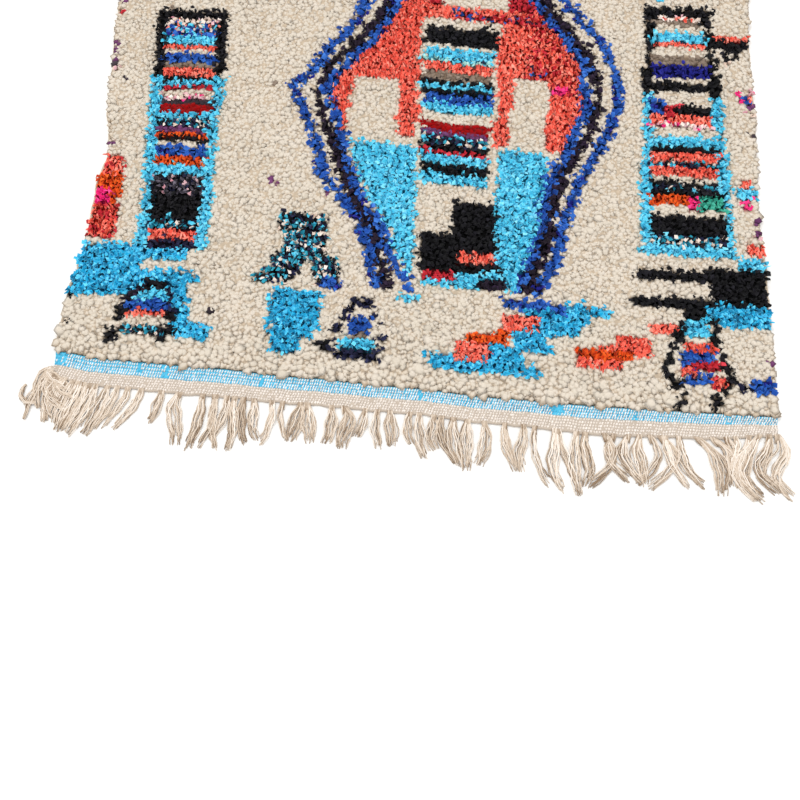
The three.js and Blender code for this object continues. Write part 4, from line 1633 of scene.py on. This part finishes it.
t = np.linspace(0, 1, YARN_STEPS)
yarn_radius = YARN * (1 - TAPER * t)
neck_radius = NECK_RADIUS * (0.55 + 0.45 * np.sin(np.pi * np.clip(t * 1.15, 0, 1)))
for end_name in END_TABLES:
    near = end_name == "near"
    locks = np.array(NEAR_LOCKS, float) if near else random_locks(end_name, FAR_LOCKS)
    made = [lock_paths(locks, end_name), neck_paths(locks, end_name)]
    if near:
        made.append(strand_paths(CORNER))
    paths = np.concatenate([part[0] for part in made])
    tone = np.concatenate([part[1] for part in made])
    radius = np.broadcast_to(yarn_radius, paths.shape[:2]).copy()
    necks = slice(len(made[0][0]), len(made[0][0]) + len(made[1][0]))
    radius[necks] = neck_radius
    points, faces = tubes(paths, radius)
    fringe = piece(f"{end_name}_fringe", to_rug(end_name, points), faces, cotton,
                   {"tone": np.repeat(np.clip(tone, 0, 1).ravel(), TUBE_SIDES)})
    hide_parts(f"{end_name}_end_fringe")
    print(end_name, "fringe:", len(locks), "locks,", len(paths), "yarns")

# %% [markdown]
# ## The selvedges
#
# At both sides the last warps are wrapped with cream yarn into a cord, which keeps the edge straight.
# The wraps show as a gentle swell: the cord is a tube whose radius, side and height waver by sines.

# %% Wrap the two sides
SELVEDGE_STEPS = 260
SELVEDGE = 3.4
SELVEDGE_HEIGHT = 5.5
SWELL = 0.18

for side_name, share, outwards in (("left", 0.0, -1), ("right", 1.0, 1)):
    near_y, far_y = edge_point(np.float64(share))[1], edge_point(np.float64(share), far=True)[1]
    y = np.linspace(near_y + 3, far_y - 3, SELVEDGE_STEPS)
    x = at_share(share, y) + outwards * (1.0 + 0.8 * np.sin(y / 9) + chance.normal(0, 0.5, len(y)))
    z = SELVEDGE_HEIGHT + 0.7 * np.sin(y / 13) + chance.normal(0, 0.3, len(y))
    path = np.stack([x, y, z], axis=-1)[None]
    points, faces = tubes(path, SELVEDGE * (1 + SWELL * np.sin(y[None] / 4)))
    tone = np.repeat(np.clip(0.35 + chance.normal(0, 0.2, len(y)), 0, 1), TUBE_SIDES)
    # At a rise of 0.8 the cord takes seven tenths of the wool's painted root shade.
    piece(f"{side_name}_selvedge", points, faces, finishes["cream"],
          {"tone": tone, "rise": np.full(len(points), 0.8), "rim": np.zeros(len(points))})
    print(side_name, "selvedge, mm long:", round(float(far_y - near_y)))

# %% [markdown]
# ## One cloth, and what is fixed to it
#
# Only the ground cloth is cloth: it lies flat on the floor, 1.4 by 2.2 metres. The knots are tied to
# it, and the flat weave, the fringes and the selvedges are of its own warps, so they all go where it
# goes.

# %% [markdown]
# ## Floor and light
#
# The photograph is cut out on white, so the floor is a pale matt sweep and the light is soft from
# above. One broad sun from behind, a little to the left, gives the pile its small shadows.

# %% The floor
FLOOR_SIZE = 30.0
FLOOR_LEVEL = -0.0003

floor_mesh = bpy.data.meshes.new("floor")
half = FLOOR_SIZE / 2
corners = [(-half, -half), (half, -half), (half, half), (-half, half)]
floor_mesh.from_pydata([corner + (FLOOR_LEVEL,) for corner in corners], [], [(0, 1, 2, 3)])
floor = bpy.data.objects.new("floor", floor_mesh)
bpy.context.scene.collection.objects.link(floor)
paper = bpy.data.materials.new("pale_paper_sweep")
paper.use_nodes = True
paper_surface = paper.node_tree.nodes["Principled BSDF"]
paper_surface.inputs["Base Color"].default_value = linear("#f6f5f3")
paper_surface.inputs["Roughness"].default_value = 0.9
paper_surface.inputs["Specular IOR Level"].default_value = 0.1
floor_mesh.materials.append(paper)
print("floor:", FLOOR_SIZE, "m wide, of", paper.name)

# %% The light
SKY_STRENGTH = 1.14
SUN_STRENGTH = 0.75
SUN_WIDTH = 20
SUN_TILT = (-26, -16)

world = bpy.data.worlds.new("studio")
bpy.context.scene.world = world
world.use_nodes = True
sky = world.node_tree.nodes["Background"]
sky.inputs["Color"].default_value = (1, 1, 1, 1)
sky.inputs["Strength"].default_value = SKY_STRENGTH

sun_data = bpy.data.lights.new("broad_sun", "SUN")
sun_data.energy = SUN_STRENGTH
sun_data.angle = math.radians(SUN_WIDTH)
sun = bpy.data.objects.new("broad_sun", sun_data)
sun.rotation_euler = (math.radians(SUN_TILT[0]), math.radians(SUN_TILT[1]), 0)
bpy.context.scene.collection.objects.link(sun)
bpy.context.scene.view_settings.view_transform = "Standard"
print("sky:", SKY_STRENGTH, "sun:", SUN_STRENGTH, "from a disc", SUN_WIDTH, "degrees wide")
